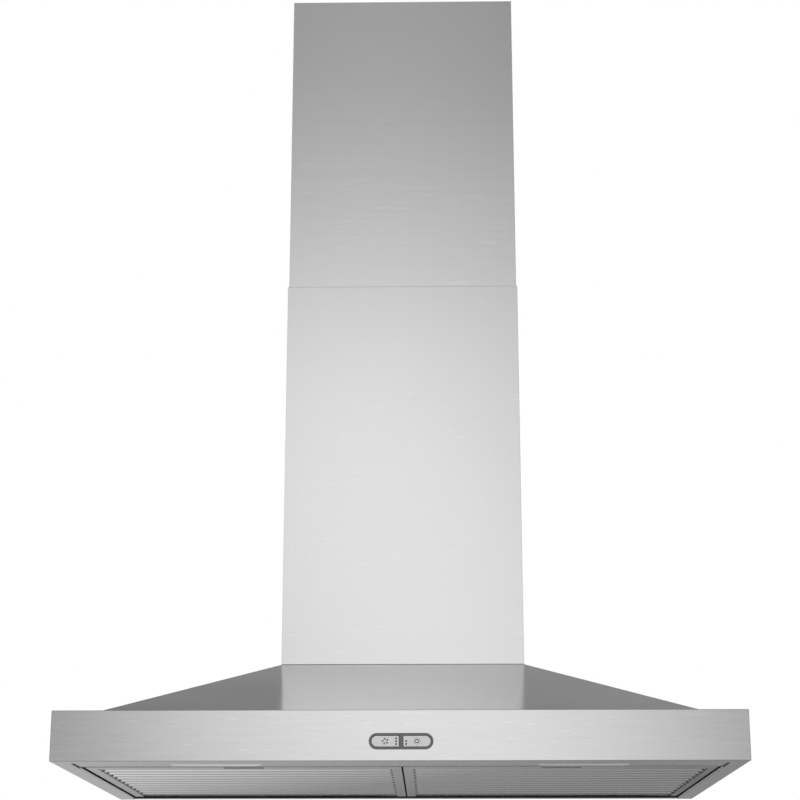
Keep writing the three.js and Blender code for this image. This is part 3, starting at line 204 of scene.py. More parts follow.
def makeFloor(s):
    mesh = bpy.data.meshes.new("floor")
    half = s["half"]
    mesh.from_pydata([(x * half, y * half, s["height"]) for x, y in ((-1, -1), (1, -1), (1, 1), (-1, 1))],
                     [], [(0, 1, 2, 3)])
    floor = bpy.data.objects.new("floor", mesh)
    bpy.context.scene.collection.objects.link(floor)
    material, tree, shader = newMaterial("floorPaint", s["color"], 0.0, s["roughness"])
    place = addNode(tree, "ShaderNodeTexCoord").outputs["Object"]
    cloud = calc(tree, "SUBTRACT", noise(tree, place, s["mottleScale"], 3.0), 0.5)
    tint(tree, shader, s["color"], calc(tree, "MULTIPLY_ADD", cloud, s["mottle"] * 2, 1.0))
    mesh.materials.append(material)


# finishes

def newMaterial(name, color, metallic, roughness):
    material = bpy.data.materials.new(name)
    material.use_nodes = True
    tree = material.node_tree
    shader = tree.nodes["Principled BSDF"]
    shader.inputs["Base Color"].default_value = (*color, 1)
    shader.inputs["Metallic"].default_value = metallic
    shader.inputs["Roughness"].default_value = roughness
    material.diffuse_color = (*color, 1)
    return material, tree, shader


def noise(tree, place, scale, detail=2.0, roughness=0.5, stretch=(1, 1, 1)):
    mapped = addNode(tree, "ShaderNodeMapping", i0=place, i3=stretch).outputs[0]
    return addNode(tree, "ShaderNodeTexNoise", i0=mapped, Scale=scale, Detail=detail,
                   Roughness=roughness).outputs["Fac"]


def tint(tree, shader, color, factor):
    scaled = addNode(tree, "ShaderNodeVectorMath", {"operation": "SCALE"}, i0=color, Scale=factor)
    tree.links.new(scaled.outputs[0], shader.inputs["Base Color"])


def bumped(tree, shader, height, strength, distance):
    bump = addNode(tree, "ShaderNodeBump", Strength=strength, Distance=distance, Height=height)
    tree.links.new(bump.outputs[0], shader.inputs["Normal"])


steelSettings = {
    "color": (0.742, 0.742, 0.742),
    "roughness": 0.19,
    "anisotropy": 0.6,
    "along": 3.0,           # grain cells per metre along the brushing
    "fine": 1100.0,         # and across it
    "broad": 170.0,
    "streakAlong": 46.0,    # short bright and dull scratches
    "streakAcross": 480.0,
    "streakTone": 0.085,
    "streakStops": [(0.0, 0.0), (0.3, 0.5), (0.64, 0.5), (0.78, 1.0)],
    "fineShare": 0.55,      # of the grain's tone, the rest is broad
    "grainTone": 0.06,
    "cloudScale": 5.0,
    "cloudTone": 0.025,
    "roughShift": 0.03,
    "bump": 0.015,
    "bumpDepth": 0.0002,
    "turned": 0.02,         # a face this much more sideways than forward has its grain turned
    "lean": 0.05,           # of the highlight's upright direction, away from straight up
    "glance": 0.5,          # sheen left at a glancing angle on the underside as the metal's own edge tint, with painted shade making it less to the right and rear
    "glanceRightward": 0.6,
    "glanceRearward": 0.0,
    "glanceLeast": 0.36,
    "underside": -0.5,      # faces whose normal points further down than this
}


def brushedMetal(name, s):
    material, tree, shader = newMaterial(name, s["color"], 1.0, s["roughness"])
    coord = addNode(tree, "ShaderNodeTexCoord")
    place = coord.outputs["Object"]
    normal = addNode(tree, "ShaderNodeSeparateXYZ", i0=coord.outputs["Normal"])
    sideways = calc(tree, "GREATER_THAN", calc(tree, "ABSOLUTE", normal.outputs["X"]),
                    calc(tree, "ADD", calc(tree, "ABSOLUTE", normal.outputs["Y"]), s["turned"]))

    def grain(along, across, detail):
        front = addNode(tree, "ShaderNodeMapping", i0=place, i3=(along, across, across))
        side = addNode(tree, "ShaderNodeMapping", i0=place, i3=(across, along, across))
        pick = addNode(tree, "ShaderNodeMix", {"data_type": "VECTOR"}, i0=sideways,
                       i4=front.outputs[0], i5=side.outputs[0])
        return addNode(tree, "ShaderNodeTexNoise", i0=pick.outputs[1], Scale=1.0, Detail=detail,
                       Roughness=0.6).outputs["Fac"]

    fine = grain(s["along"], s["fine"], 3.0)
    broad = grain(s["along"], s["broad"], 2.0)
    streak = calc(tree, "SUBTRACT", graded(tree, grain(s["streakAlong"], s["streakAcross"], 1.0),
                                           s["streakStops"]), 0.5)
    cloud = calc(tree, "SUBTRACT", noise(tree, place, s["cloudScale"], 3.0), 0.5)
    both = calc(tree, "SUBTRACT", calc(tree, "MULTIPLY_ADD", fine, s["fineShare"],
                                       calc(tree, "MULTIPLY", broad, 1 - s["fineShare"])), 0.5)
    tone = calc(tree, "MULTIPLY_ADD", both, s["grainTone"] * 2, 1.0)
    tone = calc(tree, "MULTIPLY_ADD", streak, s["streakTone"] * 2, tone)
    tone = calc(tree, "MULTIPLY_ADD", cloud, s["cloudTone"] * 2, tone)
    tint(tree, shader, s["color"], tone)
    rough = calc(tree, "MULTIPLY_ADD", both, s["roughShift"] * 2, s["roughness"])
    tree.links.new(calc(tree, "MULTIPLY_ADD", cloud, s["roughShift"], rough), shader.inputs["Roughness"])
    bumped(tree, shader, fine, s["bump"], s["bumpDepth"])
    # painted shade: on faces that point down the specular tint falls off to the right and rear
    split = addNode(tree, "ShaderNodeSeparateXYZ", i0=place)
    glance = calc(tree, "MULTIPLY_ADD", split.outputs["X"], -s["glanceRightward"], s["glance"])
    glance = calc(tree, "MULTIPLY_ADD", split.outputs["Y"], -s["glanceRearward"], glance)
    glance = calc(tree, "MAXIMUM", calc(tree, "MINIMUM", glance, 1.0), s["glanceLeast"])
    glance = calc(tree, "MAXIMUM", glance, calc(tree, "GREATER_THAN", normal.outputs["Z"], s["underside"]))
    grey = addNode(tree, "ShaderNodeCombineColor", i0=glance, i1=glance, i2=glance)
    tree.links.new(grey.outputs[0], shader.inputs["Specular Tint"])
    shader.inputs["Anisotropic"].default_value = s["anisotropy"]
    upward = addNode(tree, "ShaderNodeCombineXYZ", i0=0.0, i1=s["lean"], i2=1.0)
    tree.links.new(upward.outputs[0], shader.inputs["Tangent"])
    return material


zincSettings = {"color": (0.6, 0.615, 0.625), "roughness": 0.42, "cells": 85.0, "cellTone": 0.09,
                "cellRough": 0.12, "bump": 0.02, "bumpDepth": 0.0005, "fine": 900.0, "fineShare": 0.3,
                "warpScale": 60.0, "warp": 0.008}


def spangledZinc(name, s):
    material, tree, shader = newMaterial(name, s["color"], 1.0, s["roughness"])
    place = addNode(tree, "ShaderNodeTexCoord").outputs["Object"]
    warp = addNode(tree, "ShaderNodeTexNoise", i0=place, Scale=s["warpScale"]).outputs["Color"]
    bent = addNode(tree, "ShaderNodeVectorMath", {"operation": "MULTIPLY_ADD"}, i0=warp,
                   i1=(s["warp"],) * 3, i2=place).outputs[0]
    cells = addNode(tree, "ShaderNodeTexVoronoi", i0=bent, Scale=s["cells"])
    shade = addNode(tree, "ShaderNodeSeparateColor", i0=cells.outputs["Color"])
    first = calc(tree, "SUBTRACT", shade.outputs[0], 0.5)
    second = calc(tree, "SUBTRACT", shade.outputs[1], 0.5)
    fine = noise(tree, place, s["fine"], 3.0)
    tint(tree, shader, s["color"], calc(tree, "MULTIPLY_ADD", first, s["cellTone"] * 2, 1.0))
    tree.links.new(calc(tree, "MULTIPLY_ADD", second, s["cellRough"] * 2, s["roughness"]),
                   shader.inputs["Roughness"])
    rise = calc(tree, "MULTIPLY_ADD", fine, s["fineShare"], shade.outputs[2])
    bumped(tree, shader, rise, s["bump"], s["bumpDepth"])
    return material


def mouldedPlastic(name, color, roughness, grainScale=1800.0, bump=0.12, mottle=0.05, metallic=0.0,
                   cloudScale=40.0, roughShift=0.12, bumpDepth=0.0002):
    material, tree, shader = newMaterial(name, color, metallic, roughness)
    place = addNode(tree, "ShaderNodeTexCoord").outputs["Object"]
    cloud = calc(tree, "SUBTRACT", noise(tree, place, cloudScale, 3.0), 0.5)
    tint(tree, shader, color, calc(tree, "MULTIPLY_ADD", cloud, mottle * 2, 1.0))
    tree.links.new(calc(tree, "MULTIPLY_ADD", cloud, roughShift, roughness), shader.inputs["Roughness"])
    bumped(tree, shader, noise(tree, place, grainScale, 2.0), bump, bumpDepth)
    return material


circuitSettings = {"color": (0.03, 0.16, 0.07), "track": (0.06, 0.27, 0.12), "lines": 260.0, "shift": 0.37,
                   "trackWidth": 0.09, "roughness": 0.35, "bump": 0.15, "bumpDepth": 0.0001}


def circuitBoard(name, s):
    material, tree, shader = newMaterial(name, s["color"], 0.0, s["roughness"])
    place = addNode(tree, "ShaderNodeTexCoord").outputs["Object"]
    upright = addNode(tree, "ShaderNodeMapping", i0=place, i2=(math.radians(90), 0, 0)).outputs[0]
    bricks = addNode(tree, "ShaderNodeTexBrick", {"offset": s["shift"]}, i0=upright, Scale=s["lines"])
    bricks.inputs["Mortar Size"].default_value = s["trackWidth"]
    mixed = addNode(tree, "ShaderNodeMix", {"data_type": "RGBA"}, i0=bricks.outputs["Fac"],
                    i6=(*s["color"], 1), i7=(*s["track"], 1))
    tree.links.new(mixed.outputs[2], shader.inputs["Base Color"])
    bumped(tree, shader, bricks.outputs["Fac"], s["bump"], s["bumpDepth"])
    return material


steel = brushedMetal("brushedSteel", steelSettings)
skirtSteel = brushedMetal("skirtSteel", {**steelSettings, "along": 14.0, "grainTone": 0.11,
                                         "streakTone": 0.12})
flueSteel = brushedMetal("flueSteel", {**steelSettings, "grainTone": 0.028, "roughShift": 0.005,
                                       "bump": 0.0})
zinc = spangledZinc("galvanisedSheet", zincSettings)
screwSteel = mouldedPlastic("zincPlating", (0.68, 0.68, 0.69), 0.28, grainScale=900.0, bump=0.05,
                            metallic=1.0)
# the filters' underside has a stronger painted shade to the right and rear
aluminium = brushedMetal("filterAluminium", {**steelSettings, "color": (0.49, 0.49, 0.492),
                                             "roughness": 0.27, "anisotropy": 0.5, "bump": 0.02,
                                             "glance": 0.35, "glanceRightward": 0.85,
                                             "glanceRearward": 0.65, "glanceLeast": 0.25})
latchBlack = mouldedPlastic("latchPlastic", (0.2, 0.2, 0.205), 0.4)
bezelGrey = mouldedPlastic("bezelPaint", (0.14, 0.142, 0.145), 0.38, grainScale=2600.0, bump=0.05)
buttonGrey = mouldedPlastic("buttonPaint", (0.84, 0.84, 0.835), 0.36, grainScale=2600.0, bump=0.04,
                            mottle=0.02, metallic=0.9)
frosted = {"roughness": 0.4, "grainScale": 700.0, "bump": 0.1, "mottle": 0.02}
lensGloss = 0.2     # hardly any
lensWhite = mouldedPlastic("frostedLens", (0.5, 0.5, 0.492), **frosted)
# painted light: the left lens is a brighter copy of the same frosted lens, as the left side is lit more
lensPaintedBright = mouldedPlastic("frostedLensLeft", (0.76, 0.76, 0.75), **frosted)
for lens in (lensWhite, lensPaintedBright):
    lens.node_tree.nodes["Principled BSDF"].inputs["Specular IOR Level"].default_value = lensGloss
blackPlastic = mouldedPlastic("blackPlastic", (0.04, 0.04, 0.045), 0.5)
motorBlack = mouldedPlastic("motorPaint", (0.05, 0.05, 0.055), 0.35, grainScale=500.0, bump=0.2)
boardGreen = circuitBoard("circuitBoard", circuitSettings)
wheelZinc = spangledZinc("wheelSheet", {**zincSettings, "color": (0.5, 0.51, 0.52), "cells": 140.0})
terminalPale = mouldedPlastic("terminalPlastic", (0.7, 0.7, 0.68), 0.45)
canPale = mouldedPlastic("capacitorCan", (0.75, 0.75, 0.73), 0.35, grainScale=900.0, bump=0.06)
jacketGrey = mouldedPlastic("leadJacket", (0.06, 0.06, 0.065), 0.55, grainScale=900.0, bump=0.15)
# painted shade: a near-black copy of the zinc for inner faces that lie only in shade
sheetBack = spangledZinc("sheetBack", {**zincSettings, "color": (0.055, 0.055, 0.056), "roughness": 0.6,
                                       "cells": 40.0})
# painted shade: a dark copy of the steel for fold faces, a dark line along the skirt's folds and the lower
# flue's top seam
bendShade = brushedMetal("bentSteel", {**steelSettings, "color": (0.28, 0.28, 0.28), "roughness": 0.3})
flueBack = spangledZinc("flueInside", {**zincSettings, "color": (0.36, 0.365, 0.37), "roughness": 0.5})

# settings of the painted edge highlight and its painted fade
edgeSettings = {"color": (0.96, 0.96, 0.96), "roughness": 0.32, "rearward": 1.2, "rightward": 1.5,
                "least": 0.4, "most": 1.0, "corner": (-0.24, -0.42), "grain": 900.0, "grainTone": 0.1}


def paintedHighlightEdge(name, s):
    # painted highlight: a bright copy of the aluminium, fading as painted shade to the right and rear of its
    # brightest corner; the fine noise is grain
    material, tree, shader = newMaterial(name, s["color"], 1.0, s["roughness"])
    place = addNode(tree, "ShaderNodeTexCoord").outputs["Object"]
    split = addNode(tree, "ShaderNodeSeparateXYZ", i0=place)
    x = calc(tree, "SUBTRACT", split.outputs["X"], s["corner"][0])
    y = calc(tree, "SUBTRACT", split.outputs["Y"], s["corner"][1])
    rear = calc(tree, "MULTIPLY_ADD", y, -s["rearward"], 1.0)
    tone = calc(tree, "MULTIPLY_ADD", x, -s["rightward"], rear)
    fine = calc(tree, "MULTIPLY_ADD", noise(tree, place, 1.0, 2.0, 0.5, (5, s["grain"], s["grain"])),
                s["grainTone"], 1 - s["grainTone"] / 2)
    tone = calc(tree, "MINIMUM", calc(tree, "MAXIMUM", tone, s["least"]), s["most"])
    tint(tree, shader, s["color"], calc(tree, "MULTIPLY", tone, fine))
    return material


# painted highlight for the folds that face forward under the filters
edgeHighlight = paintedHighlightEdge("foldedEdge", edgeSettings)
printInk = mouldedPlastic("printInk", (0.05, 0.05, 0.055), 0.5, grainScale=3000.0, bump=0.03)
finishes = {
    "brushed_steel": steel, "galvanised_steel": zinc, "screw_steel": screwSteel,
    "filter_aluminium": aluminium, "latch_plastic": latchBlack, "bezel_plastic": bezelGrey,
    "button_plastic": buttonGrey, "lens_plastic": lensWhite, "black_plastic": blackPlastic,
    "motor_case": motorBlack, "circuit_board": boardGreen, "wheel_steel": wheelZinc,
    "terminal_plastic": terminalPale, "capacitor_can": canPale, "lead_jacket": jacketGrey,
}
for nodeName, node in nodes.items():
    node.data.materials.clear()
    node.data.materials.append(finishes[slotOf[nodeName]])
print("finishes made:", len(bpy.data.materials))

bpy.context.scene.view_settings.view_transform = "Standard"
makeCamera(cameraSettings)
makeWorld(worldSettings)
makeLamps(lampSettings)
makeFloor(floorSettings)
print("stage made")

# helpers that shape meshes

foldSettings = {
    "weld": 0.002 * mm,     # points this close are one
    "flat": math.radians(0.5),
    "fold": math.radians(12),
    "sharp": math.radians(48),
    "longEdge": 6.0,        # a fold is longer than this many sheets
    "wideSide": 2.5,        # and both sides of it are wider than this many
    "sliver": 0.02 * mm * mm,
    "leastFold": 0.2,
    "square": 0.97,         # a face closer to an axis than this is flat sheet and no fold
}


def meshFrom(bm, name):
    mesh = bpy.data.meshes.new(name)
    bm.to_mesh(mesh)
    bm.free()
    return mesh


def levelNormals(piece):
    weigh = piece.modifiers.new("levelNormals", "WEIGHTED_NORMAL")
    weigh.mode = "FACE_AREA"
    weigh.weight = 100
    weigh.keep_sharp = True
    graph = bpy.context.evaluated_depsgraph_get()
    mesh = bpy.data.meshes.new_from_object(piece.evaluated_get(graph), depsgraph=graph)
    piece.modifiers.remove(weigh)
    piece.data = mesh


def dressed(name, mesh, body, slot, replaced=(), material=None, smooth=35, flats=True):
    piece = bpy.data.objects.new(name, mesh)
    bpy.context.scene.collection.objects.link(piece)
    if not mesh.materials:
        mesh.materials.append(material or finishes[slot])
    mesh.shade_smooth()
    mesh.set_sharp_from_angle(angle=math.radians(smooth))
    if flats:
        levelNormals(piece)
    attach(piece, body)
    if replaced:
        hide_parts(*replaced)
    return piece


def standIn(node, name, mesh, **how):
    # a piece in place of one node, on that node's body and in its slot
    return dressed(name, mesh, bodyOf[node], slotOf[node], [node], **how)


def reach(face, edge):
    start = edge.verts[0].co
    line = (edge.verts[1].co - start).normalized()
    return max(((v.co - start) - line * (v.co - start).dot(line)).length for v in face.verts)


def bend(bm, edges, radius, steps):
    if edges and radius > 0:
        bmesh.ops.bevel(bm, geom=edges, offset=radius, offset_type="OFFSET", segments=steps, profile=0.5,
                        affect="EDGES", clamp_overlap=True, miter_outer="SHARP", miter_inner="SHARP")


def foldEdges(bm, sheet, convex, s):
    found = []
    for edge in bm.edges:
        if len(edge.link_faces) != 2 or edge.calc_face_angle(0) < s["fold"]:
            continue
        if (edge.calc_face_angle_signed(0) > 0) is not convex:
            continue
        narrow = min(reach(f, edge) for f in edge.link_faces)
        if edge.calc_length() > s["longEdge"] * sheet and narrow > s["wideSide"] * sheet:
            found.append(edge)
    return found


def softened(node, sheet=1.0, fold=1.6, edge=0.22, steps=3, edgeSteps=2, s=foldSettings):
    # a node's own solid with its folds bent and its edges broken, all in millimetres
    bm = bmesh.new()
    bm.from_mesh(nodes[node].data)
    bmesh.ops.remove_doubles(bm, verts=bm.verts, dist=s["weld"])
    bmesh.ops.dissolve_limit(bm, angle_limit=s["flat"], verts=bm.verts, edges=bm.edges)
    bm.normal_update()
    if fold:
        for convex, radius in ((True, fold), (False, max(fold - sheet, s["leastFold"]))):
            bend(bm, foldEdges(bm, sheet * mm, convex, s), radius * mm, steps)
            bm.normal_update()
        slivers = [f for f in bm.faces if len(f.verts) > 4 and f.calc_area() < s["sliver"]]
        bmesh.ops.delete(bm, geom=slivers, context="FACES_ONLY")
    if edge:
        sharp = [e for e in bm.edges if len(e.link_faces) == 2 and e.calc_face_angle(0) > s["sharp"]]
        bend(bm, sharp, edge * mm, edgeSteps)
    bmesh.ops.triangulate(bm, faces=[f for f in bm.faces if len(f.verts) > 4], ngon_method="EAR_CLIP")
    return meshFrom(bm, node)


def lined(mesh, material, inner):
    # faces for which inner(middle, normal) holds get the given material, mostly the painted shade of the
    # sheet's inner side
    if len(mesh.materials) < 2:
        mesh.materials.append(material)
    for face in mesh.polygons:
        if inner(face.center, face.normal):
            face.material_index = 1


def towards(point, lean=0.15):
    middle = Vector(point)
    return lambda place, normal: normal.dot(middle - place) > lean * (middle - place).length


def above(least):
    return lambda place, normal: normal.z > least


def softPiece(node, finish=None, inner=None, back=None, bends=None, upward=-1.0, **shape):
    mesh = softened(node, **shape)
    mesh.materials.append(finish or finishes[slotOf[node]])
    if inner:
        # inner faces take the painted shade unless another back is given
        lined(mesh, back or sheetBack, inner)
    if bends:
        mesh.materials.append(bends)
        for face in mesh.polygons:      # the folds themselves, where they face up enough, take the painted shade
            tilted = max(abs(v) for v in face.normal) < foldSettings["square"] and face.normal.z > upward
            if tilted and face.material_index == 0:
                face.material_index = len(mesh.materials) - 1
    return standIn(node, node + "_sheet", mesh)


sheetPieces = {
    "skirt": dict(fold=1.5, finish=skirtSteel, inner=towards((0, -0.25, -0.09)), bends=bendShade),
    "canopy_top": dict(fold=1.5, finish=skirtSteel, inner=towards((0, -0.2, -0.06))),
    "lower_flue": dict(fold=1.6, finish=flueSteel, edge=0.45, edgeSteps=3,
                       inner=towards((0, -0.125, 0.27)), back=flueBack, bends=bendShade, upward=0.1),
    "upper_flue": dict(fold=1.6, finish=flueSteel, inner=towards((0, -0.125, 0.68)), back=flueBack),
    "light_panel": dict(fold=1.4, inner=above(-0.5)),
    "rear_rail": dict(fold=1.4, inner=above(-0.98)),
    "back_panel": dict(fold=0, inner=towards((0, -0.25, -0.04))),
    "wall_bracket": dict(fold=0),
    "flue_bracket": dict(sheet=1.5, fold=1.8),
    "blower_box": dict(fold=1.6),
    "scroll_wrap": dict(fold=0),
    "scroll_side_left": dict(fold=0),
    "scroll_side_right": dict(fold=0),
    "motor_bracket": dict(fold=0),
    "duct_adapter": dict(fold=0),
    "wiring_box": dict(fold=1.6),
    "wiring_cover": dict(fold=0),
    "control_bezel": dict(fold=0, edge=0.45, edgeSteps=3),
    "fan_button": dict(fold=0, edge=0.5, edgeSteps=3),
    "light_button": dict(fold=0, edge=0.5, edgeSteps=3),
    "control_housing": dict(fold=0, edge=0.5, edgeSteps=3),
    "light_housing_left": dict(fold=0, edge=0.4),
    "light_housing_right": dict(fold=0, edge=0.4),
    "led_board_left": dict(fold=0, edge=0.15),
    "led_board_right": dict(fold=0, edge=0.15),
}
for nodeName, shape in sheetPieces.items():
    piece = softPiece(nodeName, **shape)
    print("  ", nodeName, len(piece.data.vertices))
print("sheet metal folded")

# geometry trees for what repeats


def newTree(name, sockets):
    tree = bpy.data.node_groups.new(name, "GeometryNodeTree")
    face = tree.interface
    face.new_socket("Geometry", in_out="INPUT", socket_type="NodeSocketGeometry")
    for label, kind in sockets:
        face.new_socket(label, in_out="INPUT", socket_type="NodeSocket" + kind)
    face.new_socket("Geometry", in_out="OUTPUT", socket_type="NodeSocketGeometry")
    return tree, tree.nodes.new("NodeGroupInput").outputs, tree.nodes.new("NodeGroupOutput").inputs


def closeTree(tree, instances, given, out):
    real = addNode(tree, "GeometryNodeRealizeInstances", i0=instances)
    done = addNode(tree, "GeometryNodeSetMaterial", Geometry=real.outputs[0], Material=given["Finish"])
    tree.links.new(done.outputs[0], out[0])
    return tree


def makeRowTree():
    tree, given, out = newTree("row", [("Template", "Object"), ("Count", "Int"), ("Start", "Vector"),
                                       ("Step", "Vector"), ("Finish", "Material")])
    line = addNode(tree, "GeometryNodeMeshLine", {"mode": "OFFSET"}, i0=given["Count"],
                   i2=given["Start"], i3=given["Step"])
    template = addNode(tree, "GeometryNodeObjectInfo", i0=given["Template"], i1=True)
    placed = addNode(tree, "GeometryNodeInstanceOnPoints", i0=line.outputs[0],
                     i2=template.outputs["Geometry"])
    return closeTree(tree, placed.outputs[0], given, out)


def makeRingTree():
    tree, given, out = newTree("ring", [("Template", "Object"), ("Count", "Int"), ("Centre", "Vector"),
                                        ("Turn", "Vector"), ("Finish", "Material")])
    points = addNode(tree, "GeometryNodeMeshLine", {"mode": "OFFSET"}, i0=given["Count"], i3=(0, 0, 0))
    template = addNode(tree, "GeometryNodeObjectInfo", i0=given["Template"], i1=True)
    index = addNode(tree, "GeometryNodeInputIndex").outputs[0]
    share = calc(tree, "DIVIDE", index, given["Count"])
    spin = addNode(tree, "ShaderNodeCombineXYZ", i2=calc(tree, "MULTIPLY", share, 2 * math.pi))
    placed = addNode(tree, "GeometryNodeInstanceOnPoints", i0=points.outputs[0],
                     i2=template.outputs["Geometry"], i5=spin.outputs[0])
    moved = addNode(tree, "GeometryNodeTransform", Geometry=placed.outputs[0],
                    Translation=given["Centre"], Rotation=given["Turn"])
    return closeTree(tree, moved.outputs[0], given, out)


def makeSpotTree():
    tree, given, out = newTree("spots", [("Template", "Object"), ("Twist", "Float"), ("Seed", "Int"),
                                         ("Finish", "Material")])
    template = addNode(tree, "GeometryNodeObjectInfo", i0=given["Template"], i1=True)
    facing = addNode(tree, "GeometryNodeInputNamedAttribute", {"data_type": "FLOAT_VECTOR"}, i0="facing")
    aligned = addNode(tree, "FunctionNodeAlignRotationToVector", {"axis": "Z"},
                      Vector=facing.outputs[0])
    twist = addNode(tree, "FunctionNodeRandomValue", {"data_type": "FLOAT"}, i3=given["Twist"],
                    Seed=given["Seed"])
    twisted = addNode(tree, "FunctionNodeRotateRotation", {"rotation_space": "LOCAL"},
                      i0=aligned.outputs[0],
                      i1=addNode(tree, "ShaderNodeCombineXYZ", i2=twist.outputs[1]).outputs[0])
    placed = addNode(tree, "GeometryNodeInstanceOnPoints", i0=given["Geometry"],
                     i2=template.outputs["Geometry"], i5=twisted.outputs[0])
    return closeTree(tree, placed.outputs[0], given, out)


rowTree, ringTree, spotTree = makeRowTree(), makeRingTree(), makeSpotTree()


def grown(name, tree, values, base=None):
    carrier = bpy.data.objects.new(name, base or bpy.data.meshes.new(name))
    modifier = carrier.modifiers.new("grow", "NODES")
    modifier.node_group = tree
    for item in tree.interface.items_tree:
        if item.in_out == "INPUT" and item.name in values:
            modifier[item.identifier] = values[item.name]
    bpy.context.scene.collection.objects.link(carrier)
    graph = bpy.context.evaluated_depsgraph_get()
    mesh = bpy.data.meshes.new_from_object(carrier.evaluated_get(graph), depsgraph=graph)
    mesh.name = name
    bpy.data.objects.remove(carrier)
    return mesh


def template(mesh):
    piece = bpy.data.objects.new(mesh.name, mesh)
    piece.hide_render = True
    bpy.context.scene.collection.objects.link(piece)
    return piece


def row(name, pattern, count, start, step, material):
    return grown(name, rowTree, {"Template": pattern, "Count": count, "Start": start, "Step": step,
                                 "Finish": material})


def ring(name, pattern, count, centre, turn, material):
    return grown(name, ringTree, {"Template": pattern, "Count": count, "Centre": centre, "Turn": turn,
                                  "Finish": material})


def spots(name, pattern, places, material, twist=6.28, seed=1):
    base = bpy.data.meshes.new(name)
    base.from_pydata([place for place, facing in places], [], [])
    facing = base.attributes.new("facing", "FLOAT_VECTOR", "POINT")
    for i, (place, direction) in enumerate(places):
        facing.data[i].vector = direction
    return grown(name, spotTree, {"Template": pattern, "Twist": twist, "Seed": seed,
                                  "Finish": material}, base)


def merged(name, *meshes):
    bm = bmesh.new()
    materials = []
    for mesh in meshes:
        start = len(bm.faces)
        bm.from_mesh(mesh)
        bm.faces.ensure_lookup_table()
        for face in bm.faces[start:]:
            material = mesh.materials[face.material_index] if mesh.materials else steel
            if material not in materials:
                materials.append(material)
            face.material_index = materials.index(material)
    done = meshFrom(bm, name)
    for material in materials:
        done.materials.append(material)
    return done


def painted(mesh, material):
    mesh.materials.clear()
    mesh.materials.append(material)
    return mesh


def boxMesh(name, low, high, bevel=0.0, steps=2):
    bm = bmesh.new()
    bmesh.ops.create_cube(bm, size=1.0)
    for v in bm.verts:
        v.co = Vector(high[i] if v.co[i] > 0 else low[i] for i in range(3))
    if bevel:
        bmesh.ops.bevel(bm, geom=bm.edges[:], offset=bevel, segments=steps, profile=0.5, affect="EDGES",
                        clamp_overlap=True)
    return meshFrom(bm, name)


def prismMesh(name, points, low, high, axis="X"):
    # points are (y, z) for X, (x, z) for Y and (x, y) for Z
    place = {"X": lambda a, b, c: (c, a, b), "Y": lambda a, b, c: (a, c, b), "Z": lambda a, b, c: (a, b, c)}
    bm = bmesh.new()
    ends = [[bm.verts.new(place[axis](a, b, c)) for a, b in points] for c in (low, high)]
    count = len(points)
    bm.faces.new(ends[0])
    bm.faces.new(ends[1])
    for i in range(count):
        j = (i + 1) % count
        bm.faces.new((ends[0][i], ends[0][j], ends[1][j], ends[1][i]))
    bmesh.ops.recalc_face_normals(bm, faces=bm.faces[:])
    return meshFrom(bm, name)


def lathe(name, profile, steps, centre=(0, 0, 0), axis="Z"):
    # profile holds (radius, height) pairs, from one end round to the other, closed on itself or the axis
    bm = bmesh.new()
    verts = [bm.verts.new((r, 0, h)) for r, h in profile]
    edges = [bm.edges.new((a, b)) for a, b in zip(verts, verts[1:])]
    bmesh.ops.spin(bm, geom=verts + edges, cent=(0, 0, 0), axis=(0, 0, 1), angle=2 * math.pi, steps=steps)
    bmesh.ops.remove_doubles(bm, verts=bm.verts[:], dist=0.003 * mm)
    bmesh.ops.recalc_face_normals(bm, faces=bm.faces[:])
    turns = {"Z": Matrix.Identity(4), "X": Matrix.Rotation(math.radians(90), 4, "Y"),
             "Y": Matrix.Rotation(math.radians(-90), 4, "X")}
    bm.transform(Matrix.Translation(centre) @ turns[axis])
    return meshFrom(bm, name)


def rounded(points, radius, steps=4):
    line = [Vector(p) for p in points]
    done = [line[0]]
    for before, corner, after in zip(line, line[1:], line[2:]):
        into, out = (corner - before).normalized(), (after - corner).normalized()
        angle = into.angle(out, 0)
        if angle < 0.05:
            continue
        cut = min(radius * math.tan(angle / 2), (corner - before).length / 2, (after - corner).length / 2)
        for i in range(steps + 1):
            t = i / steps
            a, b = corner - into * cut, corner + out * cut
            done.append(a.lerp(corner, t).lerp(corner.lerp(b, t), t))
    return done + [line[-1]]


def thickened(line, thickness):
    sides = [[], []]
    for i, point in enumerate(line):
        into = (point - line[i - 1]) if i else (line[1] - point)
        out = (line[i + 1] - point) if i < len(line) - 1 else into
        into, out = into.normalized(), out.normalized()
        normal = Vector((-into.y - out.y, into.x + out.x)).normalized()
        far = thickness / 2 / max(0.3, normal.dot(Vector((-into.y, into.x))))
        sides[0].append(point + normal * far)
        sides[1].append(point - normal * far)
    return [tuple(p) for p in sides[0] + sides[1][::-1]]


def crowned(half, tall, shoulders, base=0.0, sink=0.05 * mm):
    # a bead's outline from foot to foot, its shoulders as shares of the half width and the height
    side = [(half, base - sink)] + [(half * a, base + tall * b) for a, b in shoulders]
    return [(-x, z) for x, z in side] + [(x, z) for x, z in side[::-1] if x > 0]


def discard(*patterns):
    for used in patterns:
        bpy.data.objects.remove(used)


def measured(node):
    low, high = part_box(node)
    return low, high, (low + high) / 2


# filters: two layers of folded channels in a frame


